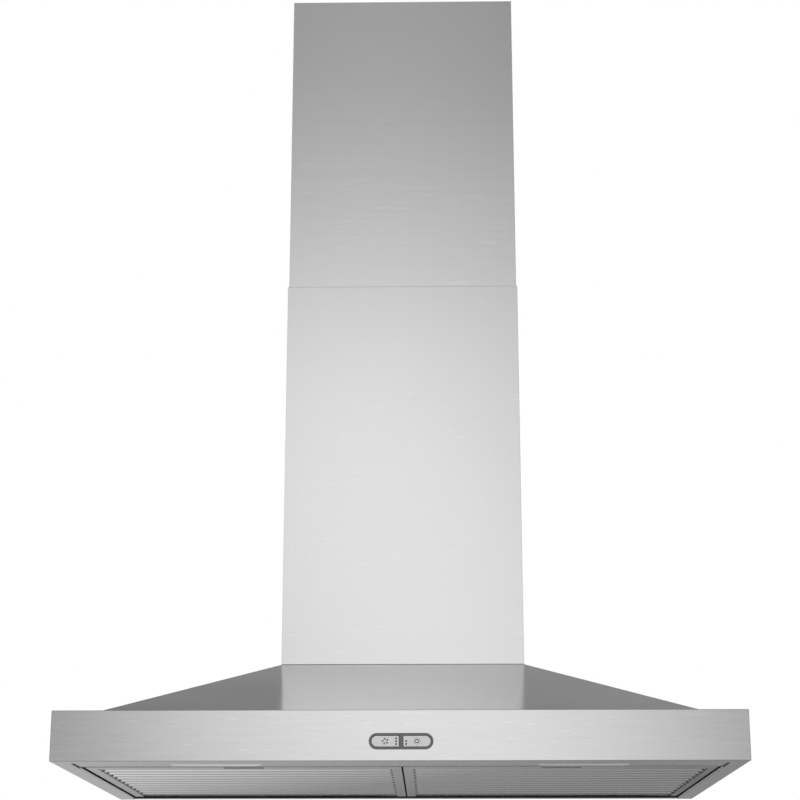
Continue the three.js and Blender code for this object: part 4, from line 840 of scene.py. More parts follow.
filterSettings = {
    "pitch": 30 * mm, "slot": 8 * mm, "firstSlot": 20.6 * mm, "sheet": 0.8 * mm, "lip": 2.2 * mm,
    "slope": 0.9 * mm, "rise": 0.6 * mm,      # each lower channel climbs this much toward the rear
    "hem": 1.1 * mm, "bend": 0.9 * mm, "border": 11.3 * mm, "endHole": 2.3 * mm, "holeDepth": 13 * mm,
    "frontBorder": 15.5 * mm, "latchHalf": 23.8 * mm, "barInset": 16 * mm, "barWidth": 9 * mm,
    "barTop": 0.7 * mm, "rearKeep": 15.5 * mm, "shortRear": 11 * mm, "sideGap": 7 * mm,
    "wall": 1.6 * mm,                         # the frame's walls lie within this of its outside
    "plateEdge": 0.1 * mm, "plateInner": 0.5,
    "inner": 0.4,                             # faces that point inward more than this get the painted shade
    "litFacing": 0.25,                           # and a front fold that points forward more gets the painted highlight
}

sideLipSettings = {"flange": 19 * mm, "reach": 1.2 * mm, "tall": 9 * mm, "sheet": 0.9 * mm,
                   "bend": 1.5 * mm, "from": 76 * mm, "to": 4 * mm, "overlap": 0.2 * mm, "lift": 0.1 * mm}


def channel(name, width, x0, x1, s, upward):
    half = width / 2 - s["sheet"] / 2
    tall = s["lip"] + s["sheet"] / 2
    rise = s["rise"] if upward else 0.0
    front = -half + (s["slope"] if upward else 0.0)
    line = [(-half + s["hem"], tall), (-half, tall), (front, 0), (half, rise), (half, tall)]
    line += [] if upward else [(half - s["hem"], tall)]
    sign = 1 if upward else -1
    outline = thickened(rounded([(y, z * sign) for y, z in line], s["bend"]), s["sheet"])
    mesh = painted(prismMesh(name, outline, x0, x1), aluminium)
    # the channel's inner faces take the painted shade
    lined(mesh, sheetBack, lambda place, normal: normal.z * sign > s["inner"])
    if upward:
        # front folds that point forward take the painted highlight
        mesh.materials.append(edgeHighlight)
        for face in mesh.polygons:
            ahead = face.center.y < s["slope"] - half and face.center.z < s["lip"]
            if ahead and face.normal.y < -s["litFacing"]:
                face.material_index = 2
    return mesh


def plate(name, low, high, inward=1):
    mesh = painted(boxMesh(name, low, high, filterSettings["plateEdge"]), aluminium)
    # the plate's inner face takes the painted shade
    lined(mesh, sheetBack, lambda place, normal: normal.z * inward > filterSettings["plateInner"])
    return mesh


def turnedLip(name, flat, edge, z, x0, x1, s):
    outline = thickened(rounded([(flat, z), (edge, z), (edge, z + s["lip"])], s["bend"]), s["sheet"])
    # the rear lip takes the painted highlight, the front lip plain aluminium
    return painted(prismMesh(name, outline, x0, x1), edgeHighlight if flat > edge else aluminium)


def rowOf(name, pattern, count, start, step):
    # the pattern keeps its own finishes, so each of them is grown on its own and they are joined
    found = []
    for index, material in enumerate(pattern.data.materials):
        bm = bmesh.new()
        bm.from_mesh(pattern.data)
        bmesh.ops.delete(bm, geom=[f for f in bm.faces if f.material_index != index], context="FACES")
        if bm.faces:
            single = template(meshFrom(bm, name + "Part"))
            found.append(row(name, single, count, start, step, material))
            discard(single)
        else:
            bm.free()
    return merged(name, *found)


def makeFilterBaffles(side, s):
    frameLow, frameHigh, centre = measured("filter_frame_" + side)
    lowerLow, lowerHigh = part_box("baffle_lower_" + side)
    upperLow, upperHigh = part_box("baffle_upper_" + side)
    middle = centre.x
    half = (lowerHigh.x - lowerLow.x) / 2
    outer = (frameHigh.x - frameLow.x) / 2 - s["border"]
    inner = outer - s["endHole"]
    sheet = s["sheet"]
    firstSlot = frameLow.y + s["firstSlot"]
    count = int((lowerHigh.y - firstSlot) / s["pitch"]) + 1
    width = s["pitch"] - s["slot"]
    lastSlot = firstSlot + (count - 1) * s["pitch"]
    rearEdge = lowerHigh.y - s["shortRear"]
    latchEdges = ((middle - half, middle - s["latchHalf"]), (middle + s["latchHalf"], middle + half))
    step = (0, s["pitch"], 0)

    z = lowerLow.z + sheet / 2
    under, over = lowerLow.z, lowerLow.z + sheet
    folded = template(channel("foldedChannel", width, -inner, inner, s, True))
    tab = template(plate("endTab", (0, -width / 2, -sheet / 2),
                         (s["endHole"], s["pitch"] - s["holeDepth"] - width / 2, sheet / 2)))
    parts = [rowOf("lowerChannels", folded, count - 1, (middle, firstSlot + s["pitch"] / 2, z), step)]
    for sign in (-1, 1):
        start = middle + (inner if sign > 0 else -outer)
        parts.append(rowOf("endTabs", tab, count - 1, (start, firstSlot + s["pitch"] / 2, z), step))
        x0, x1 = sorted((middle + sign * outer, middle + sign * half))
        parts.append(plate("sideMargin", (x0, lowerLow.y + s["frontBorder"], under), (x1, rearEdge, over)))
    frontLip, rearLip = firstSlot - s["slot"] / 2, lastSlot + s["slot"] / 2
    for x0, x1 in latchEdges:
        parts.append(plate("frontMargin", (x0, lowerLow.y, under), (x1, frontLip - 2 * s["bend"], over)))
    parts.append(turnedLip("frontLip", frontLip - 2 * s["bend"], frontLip - sheet / 2, z,
                           middle - inner, middle + inner, s))
    parts.append(turnedLip("rearLip", rearLip + 2 * s["bend"], rearLip + sheet / 2, z,
                           middle - inner, middle + inner, s))
    parts.append(plate("rearMargin", (middle - half, rearLip + 2 * s["bend"], under),
                       (middle + half, rearEdge, over)))
    standIn("baffle_lower_" + side, "lower_baffles_" + side, merged("lowerBaffles", *parts))

    hooded = template(channel("hoodedChannel", width, -inner, inner, s, False))
    top = upperHigh.z - sheet / 2
    inset = upperLow.y + s["frontBorder"]
    parts = [rowOf("upperChannels", hooded, count - 2, (middle, firstSlot + s["pitch"], top), step)]
    frontEnd, rearEnd = firstSlot + s["pitch"] / 2 - s["slot"] / 2, lastSlot - (s["pitch"] - s["slot"]) / 2
    for x0, x1 in latchEdges:
        parts.append(plate("upperFront", (x0, upperLow.y, upperHigh.z - sheet),
                           (x1, frontEnd, upperHigh.z), -1))
    parts.append(plate("upperMiddle", (middle - s["latchHalf"], inset, upperHigh.z - sheet),
                       (middle + s["latchHalf"], frontEnd, upperHigh.z), -1))
    parts.append(plate("upperRear", (middle - half, rearEnd, upperHigh.z - sheet),
                       (middle + half, rearEdge, upperHigh.z), -1))
    for sign in (-1, 1):
        x0, x1 = sorted((middle + sign * inner, middle + sign * half))
        parts.append(plate("upperSide", (x0, frontEnd, upperHigh.z - sheet), (x1, rearEnd, upperHigh.z), -1))
        x = middle + sign * (inner - s["barInset"])
        parts.append(painted(boxMesh("bar", (x - s["barWidth"] / 2, inset, upperHigh.z),
                                     (x + s["barWidth"] / 2, frameHigh.y - s["rearKeep"] - s["border"],
                                      upperHigh.z + s["barTop"]), 0.15 * mm), aluminium))
    standIn("baffle_upper_" + side, "upper_baffles_" + side, merged("upperBaffles", *parts))
    discard(folded, tab, hooded)


def makeFilterFrame(side, s):
    name = "filter_frame_" + side
    mesh = softened(name, fold=1.2)
    low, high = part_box(name)
    rear = min(v.co.y for v in mesh.vertices) + (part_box("baffle_lower_" + side)[1].y - low.y)
    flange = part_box("skirt")[1].x - sideLipSettings["flange"]
    for v in mesh.vertices:
        if rear - 0.3 * mm < v.co.y < rear + s["wall"]:
            v.co.y -= s["shortRear"]
        # both outer walls stand the same gap away from the skirt's flange
        if side == "right" and v.co.x > high.x - s["wall"]:
            v.co.x -= s["sideGap"] - (flange - high.x)
        elif side == "left" and v.co.x < low.x + s["wall"]:
            v.co.x += s["sideGap"] - (low.x + flange)
    standIn(name, name + "_sheet", mesh)


for side in ("left", "right"):
    makeFilterFrame(side, filterSettings)
    makeFilterBaffles(side, filterSettings)
print("baffles folded")

# turned lips along the skirt's side flanges


def makeSideLips(s):
    low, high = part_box("skirt")
    base = low.z + s["sheet"] / 2 + s["lift"]
    for side, sign in (("left", -1), ("right", 1)):
        edge = high.x - s["flange"]
        line = [(edge - s["overlap"], base), (edge - s["reach"], base), (edge - s["reach"], base + s["tall"])]
        outline = [(x * sign, z) for x, z in thickened(rounded(line, s["bend"], 6), s["sheet"])]
        mesh = prismMesh("sideLip", outline, low.y + s["from"], high.y - s["to"], "Y")
        dressed("side_lip_" + side, mesh, "hood", "brushed_steel")


makeSideLips(sideLipSettings)

# printed icons on the two buttons

iconSettings = {
    "thick": 0.06 * mm, "fanX": -17.2 * mm, "lampX": 17.3 * mm, "bladeCount": 5, "bladeInner": 1.3 * mm,
    "bladeOuter": 3.7 * mm, "bladeSweep": 0.55, "bladeWidth": 0.62, "dotSize": 1.9 * mm,
    "fanDots": [(-5.4 * mm, 2.9 * mm), (-5.4 * mm, -0.15 * mm), (-5.4 * mm, -3.2 * mm)],
    "lampDots": [(5.5 * mm, 0.05 * mm), (5.5 * mm, -3.1 * mm)],
    "ringInner": 1.5 * mm, "ringOuter": 2.35 * mm, "rayCount": 8, "rayStart": 3.15 * mm,
    "rayEnd": 4.1 * mm, "rayWidth": 0.6 * mm, "bladeSteps": 6, "bladeRoot": 0.35, "bladeTip": 0.85,
}


def makeIcons(s):
    centre = measured("control_bezel")[2]
    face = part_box("fan_button")[0].y
    thick = s["thick"]

    def at(x, z):
        return (centre.x + x, face, centre.z + z)

    def along(t, width):
        r = s["bladeInner"] + (s["bladeOuter"] - s["bladeInner"]) * t
        bulge = s["bladeRoot"] + (1 - s["bladeRoot"]) * math.sin(math.pi * min(t, s["bladeTip"]))
        a = s["bladeSweep"] * t * t + width * bulge
        return r * math.cos(a), r * math.sin(a)

    steps = s["bladeSteps"]
    blade = [along(i / steps, 0) for i in range(steps + 1)]
    blade += [along(1 - i / steps, s["bladeWidth"]) for i in range(steps + 1)]
    petal = template(prismMesh("petal", blade, -thick / 2, thick, "Z"))
    turn = (math.radians(90), 0, 0)
    fan = ring("fanIcon", petal, s["bladeCount"], at(s["fanX"], 0), turn, printInk)
    half = s["dotSize"] / 2
    dot = template(boxMesh("dot", (-half, -thick, -half), (half, thick / 2, half)))
    dots = row("fanDots", dot, 3, at(*s["fanDots"][0]),
               (0, 0, s["fanDots"][1][1] - s["fanDots"][0][1]), printInk)
    dressed("fan_icon", merged("fan_icon", fan, dots), "fan_button", "button_plastic", flats=False)
    ray = template(boxMesh("ray", (s["rayStart"], -s["rayWidth"] / 2, -thick / 2),
                           (s["rayEnd"], s["rayWidth"] / 2, thick)))
    rays = ring("rays", ray, s["rayCount"], at(s["lampX"], 0), turn, printInk)
    band = [(s["ringInner"], -thick), (s["ringOuter"], -thick), (s["ringOuter"], thick / 2),
            (s["ringInner"], thick / 2), (s["ringInner"], -thick)]
    hoop = painted(lathe("hoop", band, 32, at(s["lampX"], 0), "Y"), printInk)
    dots = row("lampDots", dot, 2, at(*s["lampDots"][0]),
               (0, 0, s["lampDots"][1][1] - s["lampDots"][0][1]), printInk)
    dressed("lamp_icon", merged("lamp_icon", rays, hoop, dots), "light_button", "button_plastic", flats=False)
    discard(petal, dot, ray)


makeIcons(iconSettings)
print("icons printed")

# screws

screwSettings = {"head": 4.0 * mm, "tall": 1.6 * mm, "shank": 2.0 * mm, "grip": 6.0 * mm, "recess": 0.9 * mm,
                 "arm": 2.1 * mm, "armWidth": 0.75 * mm, "rim": 0.45, "pitch": 0.5, "root": 0.8, "tip": 0.6}
smallScrewSettings = {**screwSettings, "head": 2.6 * mm, "tall": 1.1 * mm, "shank": 1.5 * mm,
                      "grip": 5 * mm, "recess": 0.6 * mm, "arm": 1.4 * mm, "armWidth": 0.5 * mm}


def screwMesh(name, s):
    head, tall, shank = s["head"], s["tall"], s["shank"]
    rim = tall * s["rim"]
    dome = [(head * math.cos(a), rim + (tall - rim) * math.sin(a))
            for a in (math.radians(90 * i / 6) for i in range(1, 6))]
    pitch = shank * s["pitch"]
    thread = []
    for i in range(int(s["grip"] / pitch)):
        thread += [(shank * s["root"], -(i + 0.15) * pitch), (shank, -(i + 0.5) * pitch)]
    profile = [(0, -s["grip"]), (shank * s["tip"], -s["grip"])] + thread[::-1] + [(shank * s["root"], 0)]
    profile += [(head, 0), (head, rim)] + dome + [(0, tall)]
    body = template(lathe(name, profile, 24))
    for x, y in ((s["arm"], s["armWidth"] / 2), (s["armWidth"] / 2, s["arm"])):
        tool = template(boxMesh("arm", (-x, -y, tall - s["recess"]), (x, y, tall * 2)))
        carve = body.modifiers.new("carve", "BOOLEAN")
        carve.operation = "DIFFERENCE"
        carve.solver = "EXACT"
        carve.object = tool
        graph = bpy.context.evaluated_depsgraph_get()
        mesh = bpy.data.meshes.new_from_object(body.evaluated_get(graph), depsgraph=graph)
        body.modifiers.remove(carve)
        body.data = mesh
        discard(tool)
    return body


def makeScrews(groups):
    for s, starts in groups:
        pattern = screwMesh("screwPattern", s)
        for i, name in enumerate(sorted(n for n in nodes if n.startswith(starts))):
            low, high, middle = measured(name)
            if name.startswith("blower"):
                place, facing = Vector((middle.x, middle.y, high.z - s["tall"])), Vector((0, 0, 1))
            else:
                sign = -1 if middle.x < 0 else 1
                edge = (high.x if sign > 0 else low.x) - sign * s["tall"]
                place, facing = Vector((edge, middle.y, middle.z)), Vector((sign, 0, 0))
            mesh = spots(name + "_head", pattern, [(place, facing)], screwSteel, seed=i + 3)
            standIn(name, name + "_turned", mesh)
        discard(pattern)


makeScrews([(screwSettings, ("lower_flue_screw", "flue_screw", "blower_screw")),
            (smallScrewSettings, "cover_screw")])
print("screws driven")

# lamps under the canopy

lensSettings = {"ribs": 6, "ribTall": 0.4 * mm, "ribWidth": 2.9 * mm, "inset": 9.6 * mm,
                "round": 0.6, "shoulders": ((0.5, 0.75), (0, 1)), "chips": 9, "chip": 1.4 * mm,
                "chipTall": 0.7 * mm, "chipMargin": 5 * mm}


def makeLights(s):
    for side in ("left", "right"):
        low, high, middle = measured("light_lens_" + side)
        # the left lens takes the painted-light copy
        glass = lensPaintedBright if side == "left" else lensWhite
        span = high.x - low.x - 2 * s["inset"]
        depth = high.y - low.y - s["inset"] / 2
        outline = crowned(s["ribWidth"] / 2, -s["ribTall"], s["shoulders"], sink=-0.05 * mm)
        rib = template(prismMesh("rib", outline, -span / 2, span / 2, "X"))
        ribs = row("lensRibs", rib, s["ribs"], (middle.x, middle.y - depth / 2, low.z),
                   (0, depth / (s["ribs"] - 1), 0), glass)
        lens = painted(softened("light_lens_" + side, fold=0, edge=s["round"], edgeSteps=3), glass)
        standIn("light_lens_" + side, "ribbed_lens_" + side, merged("ribbedLens", lens, ribs))
        low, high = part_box("led_board_" + side)
        half = s["chip"]
        chip = template(boxMesh("chip", (-half, -half, -s["chipTall"]), (half, half, 0.02 * mm),
                                0.15 * mm))
        span = high.x - low.x - 2 * s["chipMargin"]
        chips = row("chips", chip, s["chips"], (middle.x - span / 2, middle.y, low.z),
                    (span / (s["chips"] - 1), 0, 0), lensWhite)
        dressed("led_chips_" + side, chips, "hood", "lens_plastic", flats=False)
        discard(rib, chip)


makeLights(lensSettings)

# filter latches and their springs

latchSettings = {"ridges": 5, "ridgePitch": 2.2 * mm, "ridge": 0.45 * mm, "ridgeLong": 2.6 * mm,
                 "ridgeBack": 3 * mm, "round": 0.35}


def makeLatches(s):
    for side in ("left", "right"):
        name = "filter_latch_" + side
        low, high, middle = measured(name)
        body = painted(softened(name, fold=0, edge=s["round"], edgeSteps=3), latchBlack)
        wide, long = s["ridge"], s["ridgeLong"] / 2
        ridge = template(boxMesh("ridge", (-wide / 2, -long, -wide / 2), (wide / 2, long, wide),
                                 0.1 * mm))
        first = middle.x - (s["ridges"] - 1) / 2 * s["ridgePitch"]
        ridges = row("ridges", ridge, s["ridges"], (first, high.y - s["ridgeBack"], low.z),
                     (s["ridgePitch"], 0, 0), latchBlack)
        standIn(name, "ridged_latch_" + side, merged(name, body, ridges))
        discard(ridge)


def makeSprings():
    # each spring, between its filter and its latch, is its node's solid with softened edges, set in place on
    # no body
    for side in ("left", "right"):
        name = "latch_spring_" + side
        spring = bpy.data.objects.new("bent_" + name, painted(softened(name, fold=0, edge=0.1), screwSteel))
        bpy.context.scene.collection.objects.link(spring)
        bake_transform(spring)
        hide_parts(name)


makeLatches(latchSettings)
makeSprings()
print("lamps and latches made")

# blower: wheel, shaft, motor

wheelSettings = {
    "blades": 36, "bladeIn": 52 * mm, "bladeOut": 64.2 * mm, "bladeSheet": 0.7 * mm, "curl": 0.2,
    "rim": 3.2 * mm, "rimIn": 51 * mm, "rimSheet": 0.8 * mm, "rimRound": 0.4 * mm, "hub": 11 * mm,
    "hubRound": 0.6 * mm, "bore": 4.1 * mm, "plateSheet": 1.0 * mm, "plateStep": 2 * mm, "hubLong": 16 * mm,
    "bladeSink": 0.5 * mm, "plateSink": 1 * mm,
    "plateBends": (0.53, 0.55, 0.6, 0.62),    # of the radius inside the blades
}


def makeWheel(s):
    low, high, middle = measured("blower_wheel")
    half = (high.x - low.x) / 2
    radius = (high.z - low.z) / 2
    arc = []
    for t in (i / 6 for i in range(7)):
        r = s["bladeIn"] + (s["bladeOut"] - s["bladeIn"]) * t
        a = s["curl"] * t * t
        arc.append(Vector((r * math.cos(a), r * math.sin(a))))
    end = half - s["bladeSink"]
    blade = template(prismMesh("blade", thickened(arc, s["bladeSheet"]), -end, end, "Z"))
    parts = [ring("blades", blade, s["blades"], middle, (0, math.radians(90), 0), wheelZinc)]
    sheet, turned = s["rimSheet"], s["rimRound"]
    for sign in (-1, 1):
        outer, under = sign * half, sign * (half - sheet)
        lip = sign * (half - s["rim"])
        profile = [(s["rimIn"], outer), (radius - turned, outer), (radius, outer - sign * turned),
                   (radius, lip), (radius - sheet, lip), (radius - sheet, under), (s["rimIn"], under),
                   (s["rimIn"], outer)]
        parts.append(painted(lathe("rim", profile, 96, middle, "X"), wheelZinc))
    sheet, step = s["plateSheet"] / 2, s["plateStep"]
    root, tip = s["hub"] - s["plateSink"], s["bladeOut"] - s["plateSink"]
    upperIn, lowerIn, upperOut, lowerOut = (s["bladeIn"] * share for share in s["plateBends"])
    disc = [(root, -sheet), (lowerIn, -sheet), (lowerOut, step - sheet), (tip, step - sheet),
            (tip, step + sheet), (upperOut, step + sheet), (upperIn, sheet), (root, sheet), (root, -sheet)]
    parts.append(painted(lathe("disc", disc, 72, middle, "X"), wheelZinc))
    long, bore, radius, turned = s["hubLong"] / 2, s["bore"], s["hub"], s["hubRound"]
    hub = [(bore, -long), (radius - turned, -long), (radius, turned - long), (radius, long - turned),
           (radius - turned, long), (bore, long), (bore, -long)]
    parts.append(painted(lathe("hub", hub, 40, middle, "X"), screwSteel))
    standIn("blower_wheel", "bladed_wheel", merged("bladedWheel", *parts))
    discard(blade)


shaftSettings = {"chamfer": 0.6 * mm, "groove": 0.35 * mm, "grooveAt": 2.5 * mm, "grooveWide": 1 * mm}


def makeShaft(s):
    low, high, middle = measured("motor_shaft")
    half, radius = (high.x - low.x) / 2, (high.z - low.z) / 2
    c, g = s["chamfer"], s["groove"]
    tip = -half + s["grooveAt"]
    profile = [(0, -half), (radius - c, -half), (radius, -half + c), (radius, tip), (radius - g, tip),
               (radius - g, tip + s["grooveWide"]), (radius, tip + s["grooveWide"]), (radius, half),
               (0, half)]
    standIn("motor_shaft", "turned_shaft", painted(lathe("shaft", profile, 40, middle, "X"), screwSteel))


motorSettings = {
    "lip": 2.2 * mm, "shoulder": 5 * mm, "bellDrop": 5 * mm, "seam": 0.7 * mm, "vents": 10,
    "ventIn": 20 * mm, "ventOut": 31 * mm, "ventWide": 3.4 * mm, "bolts": 4, "boltCircle": 34.5 * mm,
    "boltHead": 2.6 * mm, "boltTall": 1.4 * mm, "boltRound": 0.4 * mm, "boltInset": 4 * mm, "fins": 40,
    "fin": 0.7 * mm, "finFoot": 1.6 * mm, "finStart": 2 * mm, "finEnd": 1 * mm, "boss": 9 * mm,
    "bossFlare": 2 * mm, "bossTall": 0.8 * mm, "rearRound": 3 * mm, "rearDrop": 1.2 * mm, "can": 1 * mm,
    "seamIn": 2 * mm, "bellIn": 0.9 * mm, "clear": 0.4 * mm, "ventSink": 0.1 * mm, "ventProud": 0.25 * mm,
}


def makeMotor(s):
    low, high, middle = measured("motor")
    half, radius = (high.x - low.x) / 2, (high.z - low.z) / 2
    seam, lip, drop = s["seam"], s["lip"], s["bellDrop"]
    face = half - s["boltTall"] - s["clear"]
    can, groove, bell = radius - s["can"], radius - s["seamIn"], radius - s["bellIn"]
    nose = face + s["bossTall"]
    profile = [(0, -half), (radius - s["rearRound"], -half), (can, s["rearDrop"] - half), (can, -seam),
               (groove, -seam), (groove, seam), (bell, seam), (bell, face - drop),
               (radius - lip, face - drop / 2), (radius - s["shoulder"], face),
               (s["boss"] + s["bossFlare"], face), (s["boss"], nose), (0, nose)]
    parts = [painted(lathe("can", profile, 72, middle, "X"), motorBlack)]
    turn = (0, math.radians(90), 0)
    fin = template(boxMesh("fin", (radius - s["finFoot"], -s["fin"] / 2, seam + s["finStart"]),
                           (radius, s["fin"] / 2, face - drop - s["finEnd"]), 0.2 * mm))
    parts.append(ring("fins", fin, s["fins"], middle, turn, motorBlack))
    vent = template(boxMesh("vent", (s["ventIn"], -s["ventWide"] / 2, face - s["ventSink"]),
                            (s["ventOut"], s["ventWide"] / 2, face + s["ventProud"]), 0.12 * mm))
    parts.append(ring("vents", vent, s["vents"], middle, turn, blackPlastic))
    wide, tall, turned = s["boltHead"], s["boltTall"], s["boltRound"]
    head = [(0, 0), (wide, 0), (wide, tall - turned), (wide - turned, tall), (0, tall)]
    bolt = template(lathe("bolt", head, 6, (s["boltCircle"] - s["boltInset"], 0, face)))
    parts.append(ring("bolts", bolt, s["bolts"], middle, turn, screwSteel))
    standIn("motor", "finned_motor", merged("finnedMotor", *parts))
    discard(fin, vent, bolt)


makeWheel(wheelSettings)
makeShaft(shaftSettings)
makeMotor(motorSettings)
print("blower made")

# blower box, duct collar, damper

boxSettings = {"weldPitch": 32 * mm, "weld": 2.6 * mm, "weldTall": 0.25 * mm, "edge": 9 * mm, "foot": 9 * mm,
               "weldStart": 40 * mm, "weldEnd": 20 * mm, "ribWide": 10 * mm, "ribTall": 1.1 * mm,
               "ribInset": 40 * mm, "shoulders": ((0.6, 0.7), (0.25, 1))}


def domeMesh(name, radius, tall, steps=16, rings=4):
    sink = -0.05 * mm
    profile = [(0, sink), (radius, sink), (radius, 0)]
    profile += [(radius * math.cos(a), tall * math.sin(a))
                for a in (math.pi / 2 * i / rings for i in range(1, rings))]
    return lathe(name, profile + [(0, tall)], steps)


def makeBoxDetail(s):
    low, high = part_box("blower_box")
    wall = high.x - s["foot"]       # the box's own side, inside its feet
    weld = template(domeMesh("weld", s["weld"], s["weldTall"]))
    places = []
    rows = int((high.z - low.z - s["weldStart"] - s["weldEnd"]) / s["weldPitch"])
    for i in range(rows + 1):
        z = low.z + s["weldStart"] + i * s["weldPitch"]
        for y in (low.y + s["edge"], high.y - s["edge"]):
            places.append(((-wall, y, z), (-1, 0, 0)))
    dressed("spot_welds", spots("spotWelds", weld, places, zinc), "hood", "galvanised_steel", flats=False)
    front = [(x, low.y - depth) for x, depth in crowned(s["ribWide"] / 2, s["ribTall"], s["shoulders"])]
    bead = template(prismMesh("bead", front, low.z + s["ribInset"], high.z - s["ribInset"], "Z"))
    gap = (high.x - low.x) / 5
    beads = row("frontBeads", bead, 4, (-1.5 * gap, 0, 0), (gap, 0, 0), zinc)
    dressed("front_beads", beads, "hood", "galvanised_steel", flats=False)
    discard(weld, bead)


collarSettings = {"radius": 76 * mm, "plate": 2.2 * mm, "ribs": 24, "rib": 1.6 * mm, "ribTall": 12 * mm,
                  "ribReach": 5 * mm, "ribSink": 0.5 * mm, "bead": 1.2 * mm, "beadSink": 0.6 * mm,
                  "beadDrop": 6 * mm}


def makeCollarDetail(s):
    low, high, middle = measured("duct_adapter")
    centre, radius, foot = (middle.x, middle.y, 0), s["radius"], low.z + s["plate"]
    inside = radius - s["ribSink"]
    outline = [(inside, foot), (radius + s["ribReach"], foot), (inside, foot + s["ribTall"])]
    rib = template(prismMesh("rib", outline, -s["rib"] / 2, s["rib"] / 2, "Y"))
    ribs = ring("collarRibs", rib, s["ribs"], centre, (0, 0, 0), blackPlastic)
    top, inside = high.z - s["beadDrop"], radius - s["beadSink"]
    far = s["bead"]
    near = far * 0.7
    profile = [(inside, top - far), (radius + near, top - near), (radius + far, top),
               (radius + near, top + near), (inside, top + far), (inside, top - far)]
    bead = painted(lathe("collarBead", profile, 96, centre), blackPlastic)
    dressed("collar_ribs", merged("collarRibs", ribs, bead), "hood", slotOf["duct_adapter"], flats=False)
    discard(rib)


flapSettings = {"beads": 3, "beadWide": 2.4 * mm, "beadTall": 0.6 * mm, "pitch": 34 * mm, "keep": 9 * mm,
                "shoulders": ((0.5, 0.8), (0, 1))}


def makeFlaps(s):
    for side in ("front", "rear"):
        name = "damper_flap_" + side
        low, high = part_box(name)
        sign = -1 if side == "front" else 1
        hinge = high.y if side == "front" else low.y
        radius = high.x
        flap = painted(softened(name, fold=0, edge=0.15), finishes[slotOf[name]])
        outline = crowned(s["beadWide"] / 2, s["beadTall"], s["shoulders"], high.z)
        far = math.sqrt(radius ** 2 - s["pitch"] ** 2) - s["keep"]
        y0, y1 = sorted((hinge + sign * s["keep"], hinge + sign * far))
        bead = template(prismMesh("bead", outline, y0, y1, "Y"))
        beads = row("flapBeads", bead, s["beads"], (-s["pitch"] * (s["beads"] - 1) / 2, 0, 0),
                    (s["pitch"], 0, 0), finishes[slotOf[name]])
        standIn(name, "beaded_" + name, merged(name, flap, beads))
        discard(bead)


def makeRod(c=0.4 * mm):    # c is the chamfer at its ends
    low, high, middle = measured("damper_rod")
    half, radius = (high.x - low.x) / 2, (high.z - low.z) / 2
    profile = [(0, -half), (radius - c, -half), (radius, -half + c), (radius, half - c), (radius - c, half),
               (0, half)]
    standIn("damper_rod", "turned_rod", painted(lathe("rod", profile, 32, middle, "X"), screwSteel))


makeBoxDetail(boxSettings)
makeCollarDetail(collarSettings)
makeFlaps(flapSettings)
makeRod()
print("duct and damper made")

# wiring: boards, terminals, capacitor, clamp, lead

controlBoardSettings = {"chips": 4, "chipPitch": 14 * mm, "chip": (6 * mm, 1.2 * mm, 4 * mm),
                        "chipRise": 3 * mm, "legs": 24, "leg": (0.25 * mm, 0.3 * mm, 1 * mm),
                        "legDrop": 4 * mm, "legMargin": 8 * mm}


def makeControlBoard(s):
    name = "control_board"
    low, high, middle = measured(name)
    board = painted(softened(name, fold=0, edge=0.15), boardGreen)
    w, d, h = s["chip"]
    chip = template(boxMesh("chip", (-w / 2, 0, -h / 2), (w / 2, d, h / 2), 0.15 * mm))
    face = high.y - 0.02 * mm
    first = middle.x - (s["chips"] - 1) / 2 * s["chipPitch"]
    chips = row("boardChips", chip, s["chips"], (first, face, middle.z + s["chipRise"]),
                (s["chipPitch"], 0, 0), blackPlastic)
    w, d, h = s["leg"]
    leg = template(boxMesh("leg", (-w, 0, -h), (w, d, h)))
    pitch = (high.x - low.x - 2 * s["legMargin"]) / (s["legs"] - 1)
    legs = row("boardLegs", leg, s["legs"], (low.x + s["legMargin"], face, middle.z - s["legDrop"]),
               (pitch, 0, 0), screwSteel)
    standIn(name, "filled_board", merged(name, board, chips, legs))
    discard(chip, leg)


terminalSettings = {"count": 4, "screw": 3 * mm, "tall": 0.8 * mm, "round": 0.3 * mm, "sink": 0.4 * mm,
                    "slotWide": 0.8 * mm, "slotLong": 0.85}


def makeTerminals(s):
    name = "terminal_block"
    low, high, middle = measured(name)
    block = painted(softened(name, fold=0, edge=0.4, edgeSteps=3), terminalPale)
    pitch = (high.y - low.y) / s["count"]
    radius, tall, turned, sink = s["screw"], s["tall"], s["round"], s["sink"]
    head = [(0, -sink), (radius, -sink), (radius, tall - turned), (radius - turned, tall), (0, tall)]
    screw = template(lathe("head", head, 24, (0, 0, 0), "X"))
    start = (high.x, low.y + pitch / 2, middle.z)
    screws = row("terminalScrews", screw, s["count"], start, (0, pitch, 0), screwSteel)
    long, wide = radius * s["slotLong"], s["slotWide"] / 2
    groove = template(boxMesh("groove", (tall - 0.1 * mm, -long, -wide),
                              (tall + 0.05 * mm, long, wide)))
    grooves = row("terminalGrooves", groove, s["count"], start, (0, pitch, 0), blackPlastic)
    standIn(name, "screwed_terminals", merged(name, block, screws, grooves))
    discard(screw, groove)


capacitorSettings = {"rim": 0.8 * mm, "neck": 1.2 * mm, "dish": 0.6 * mm, "tabs": 2,
                     "tab": (3 * mm, 5 * mm, 0.8 * mm), "tabFoot": 1 * mm}


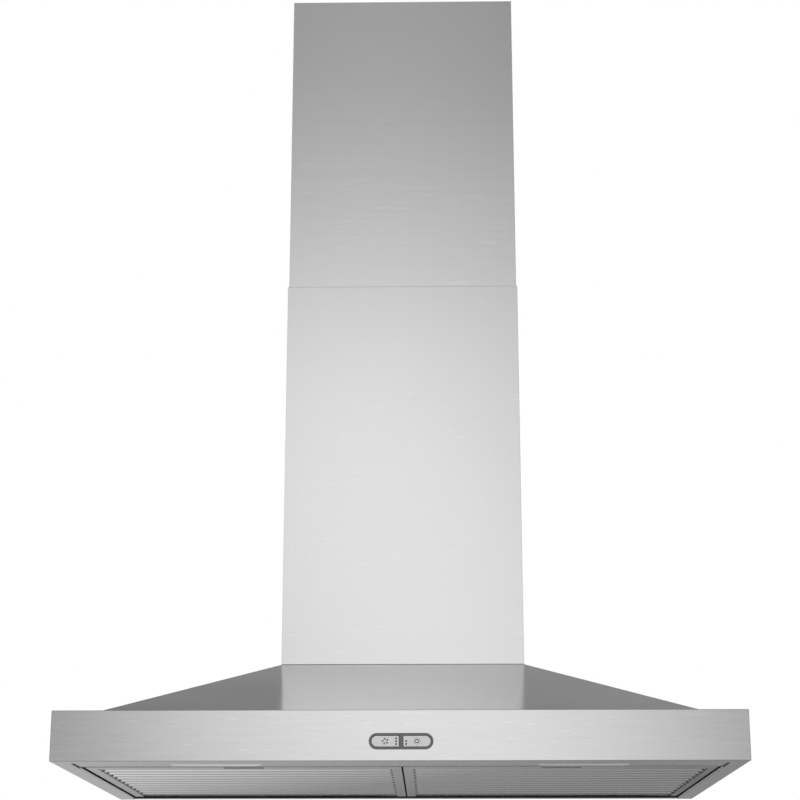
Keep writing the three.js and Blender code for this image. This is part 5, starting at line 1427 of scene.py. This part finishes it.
def makeCapacitor(s):
    name = "capacitor"
    low, high, middle = measured(name)
    half, radius = (high.y - low.y) / 2, (high.z - low.z) / 2
    rim, neck, (w, d, h) = s["rim"], s["neck"], s["tab"]
    body = half - d
    profile = [(0, -half), (radius - rim, -half), (radius, -half + rim), (radius, body - 3 * neck),
               (radius - rim, body - 2 * neck), (radius, body - neck), (radius, body - rim),
               (radius - rim, body), (radius - rim, body - s["dish"]), (0, body - s["dish"])]
    can = painted(lathe("can", profile, 48, middle, "Y"), canPale)
    tab = template(boxMesh("tab", (-w / 2, body - s["tabFoot"], -h / 2), (w / 2, half, h / 2), 0.15 * mm))
    tabs = row("tabs", tab, s["tabs"], (middle.x, middle.y, middle.z - radius / 2), (0, 0, radius),
               screwSteel)
    standIn(name, "tabbed_capacitor", merged(name, can, tabs))
    discard(tab)


clampSettings = {"nut": 10.4 * mm, "grips": 18, "grip": 1.1 * mm, "gripFoot": 1.5 * mm, "gripTall": 6 * mm,
                 "gripSink": 0.6 * mm, "gripReach": 0.55 * mm}


def makeClamp(s):
    name = "cable_clamp"
    low, high, middle = measured(name)
    clamp = painted(softened(name, fold=0, edge=0.3), finishes[slotOf[name]])
    foot, half = low.z + s["gripFoot"], s["grip"] / 2
    grip = template(boxMesh("grip", (s["nut"] - s["gripSink"], -half, foot),
                            (s["nut"] + s["gripReach"], half, foot + s["gripTall"]), 0.2 * mm))
    grips = ring("grips", grip, s["grips"], (middle.x, middle.y, 0), (0, 0, 0), finishes[slotOf[name]])
    standIn(name, "gripped_clamp", merged(name, clamp, grips))
    discard(grip)


def makeHarness():
    name = "control_harness"
    bm = bmesh.new()
    bm.from_mesh(nodes[name].data)
    bmesh.ops.remove_doubles(bm, verts=bm.verts, dist=foldSettings["weld"])
    standIn(name, "smooth_harness", painted(meshFrom(bm, name), jacketGrey), smooth=60, flats=False)


makeControlBoard(controlBoardSettings)
makeTerminals(terminalSettings)
makeCapacitor(capacitorSettings)
makeClamp(clampSettings)
makeHarness()
print("wiring made")
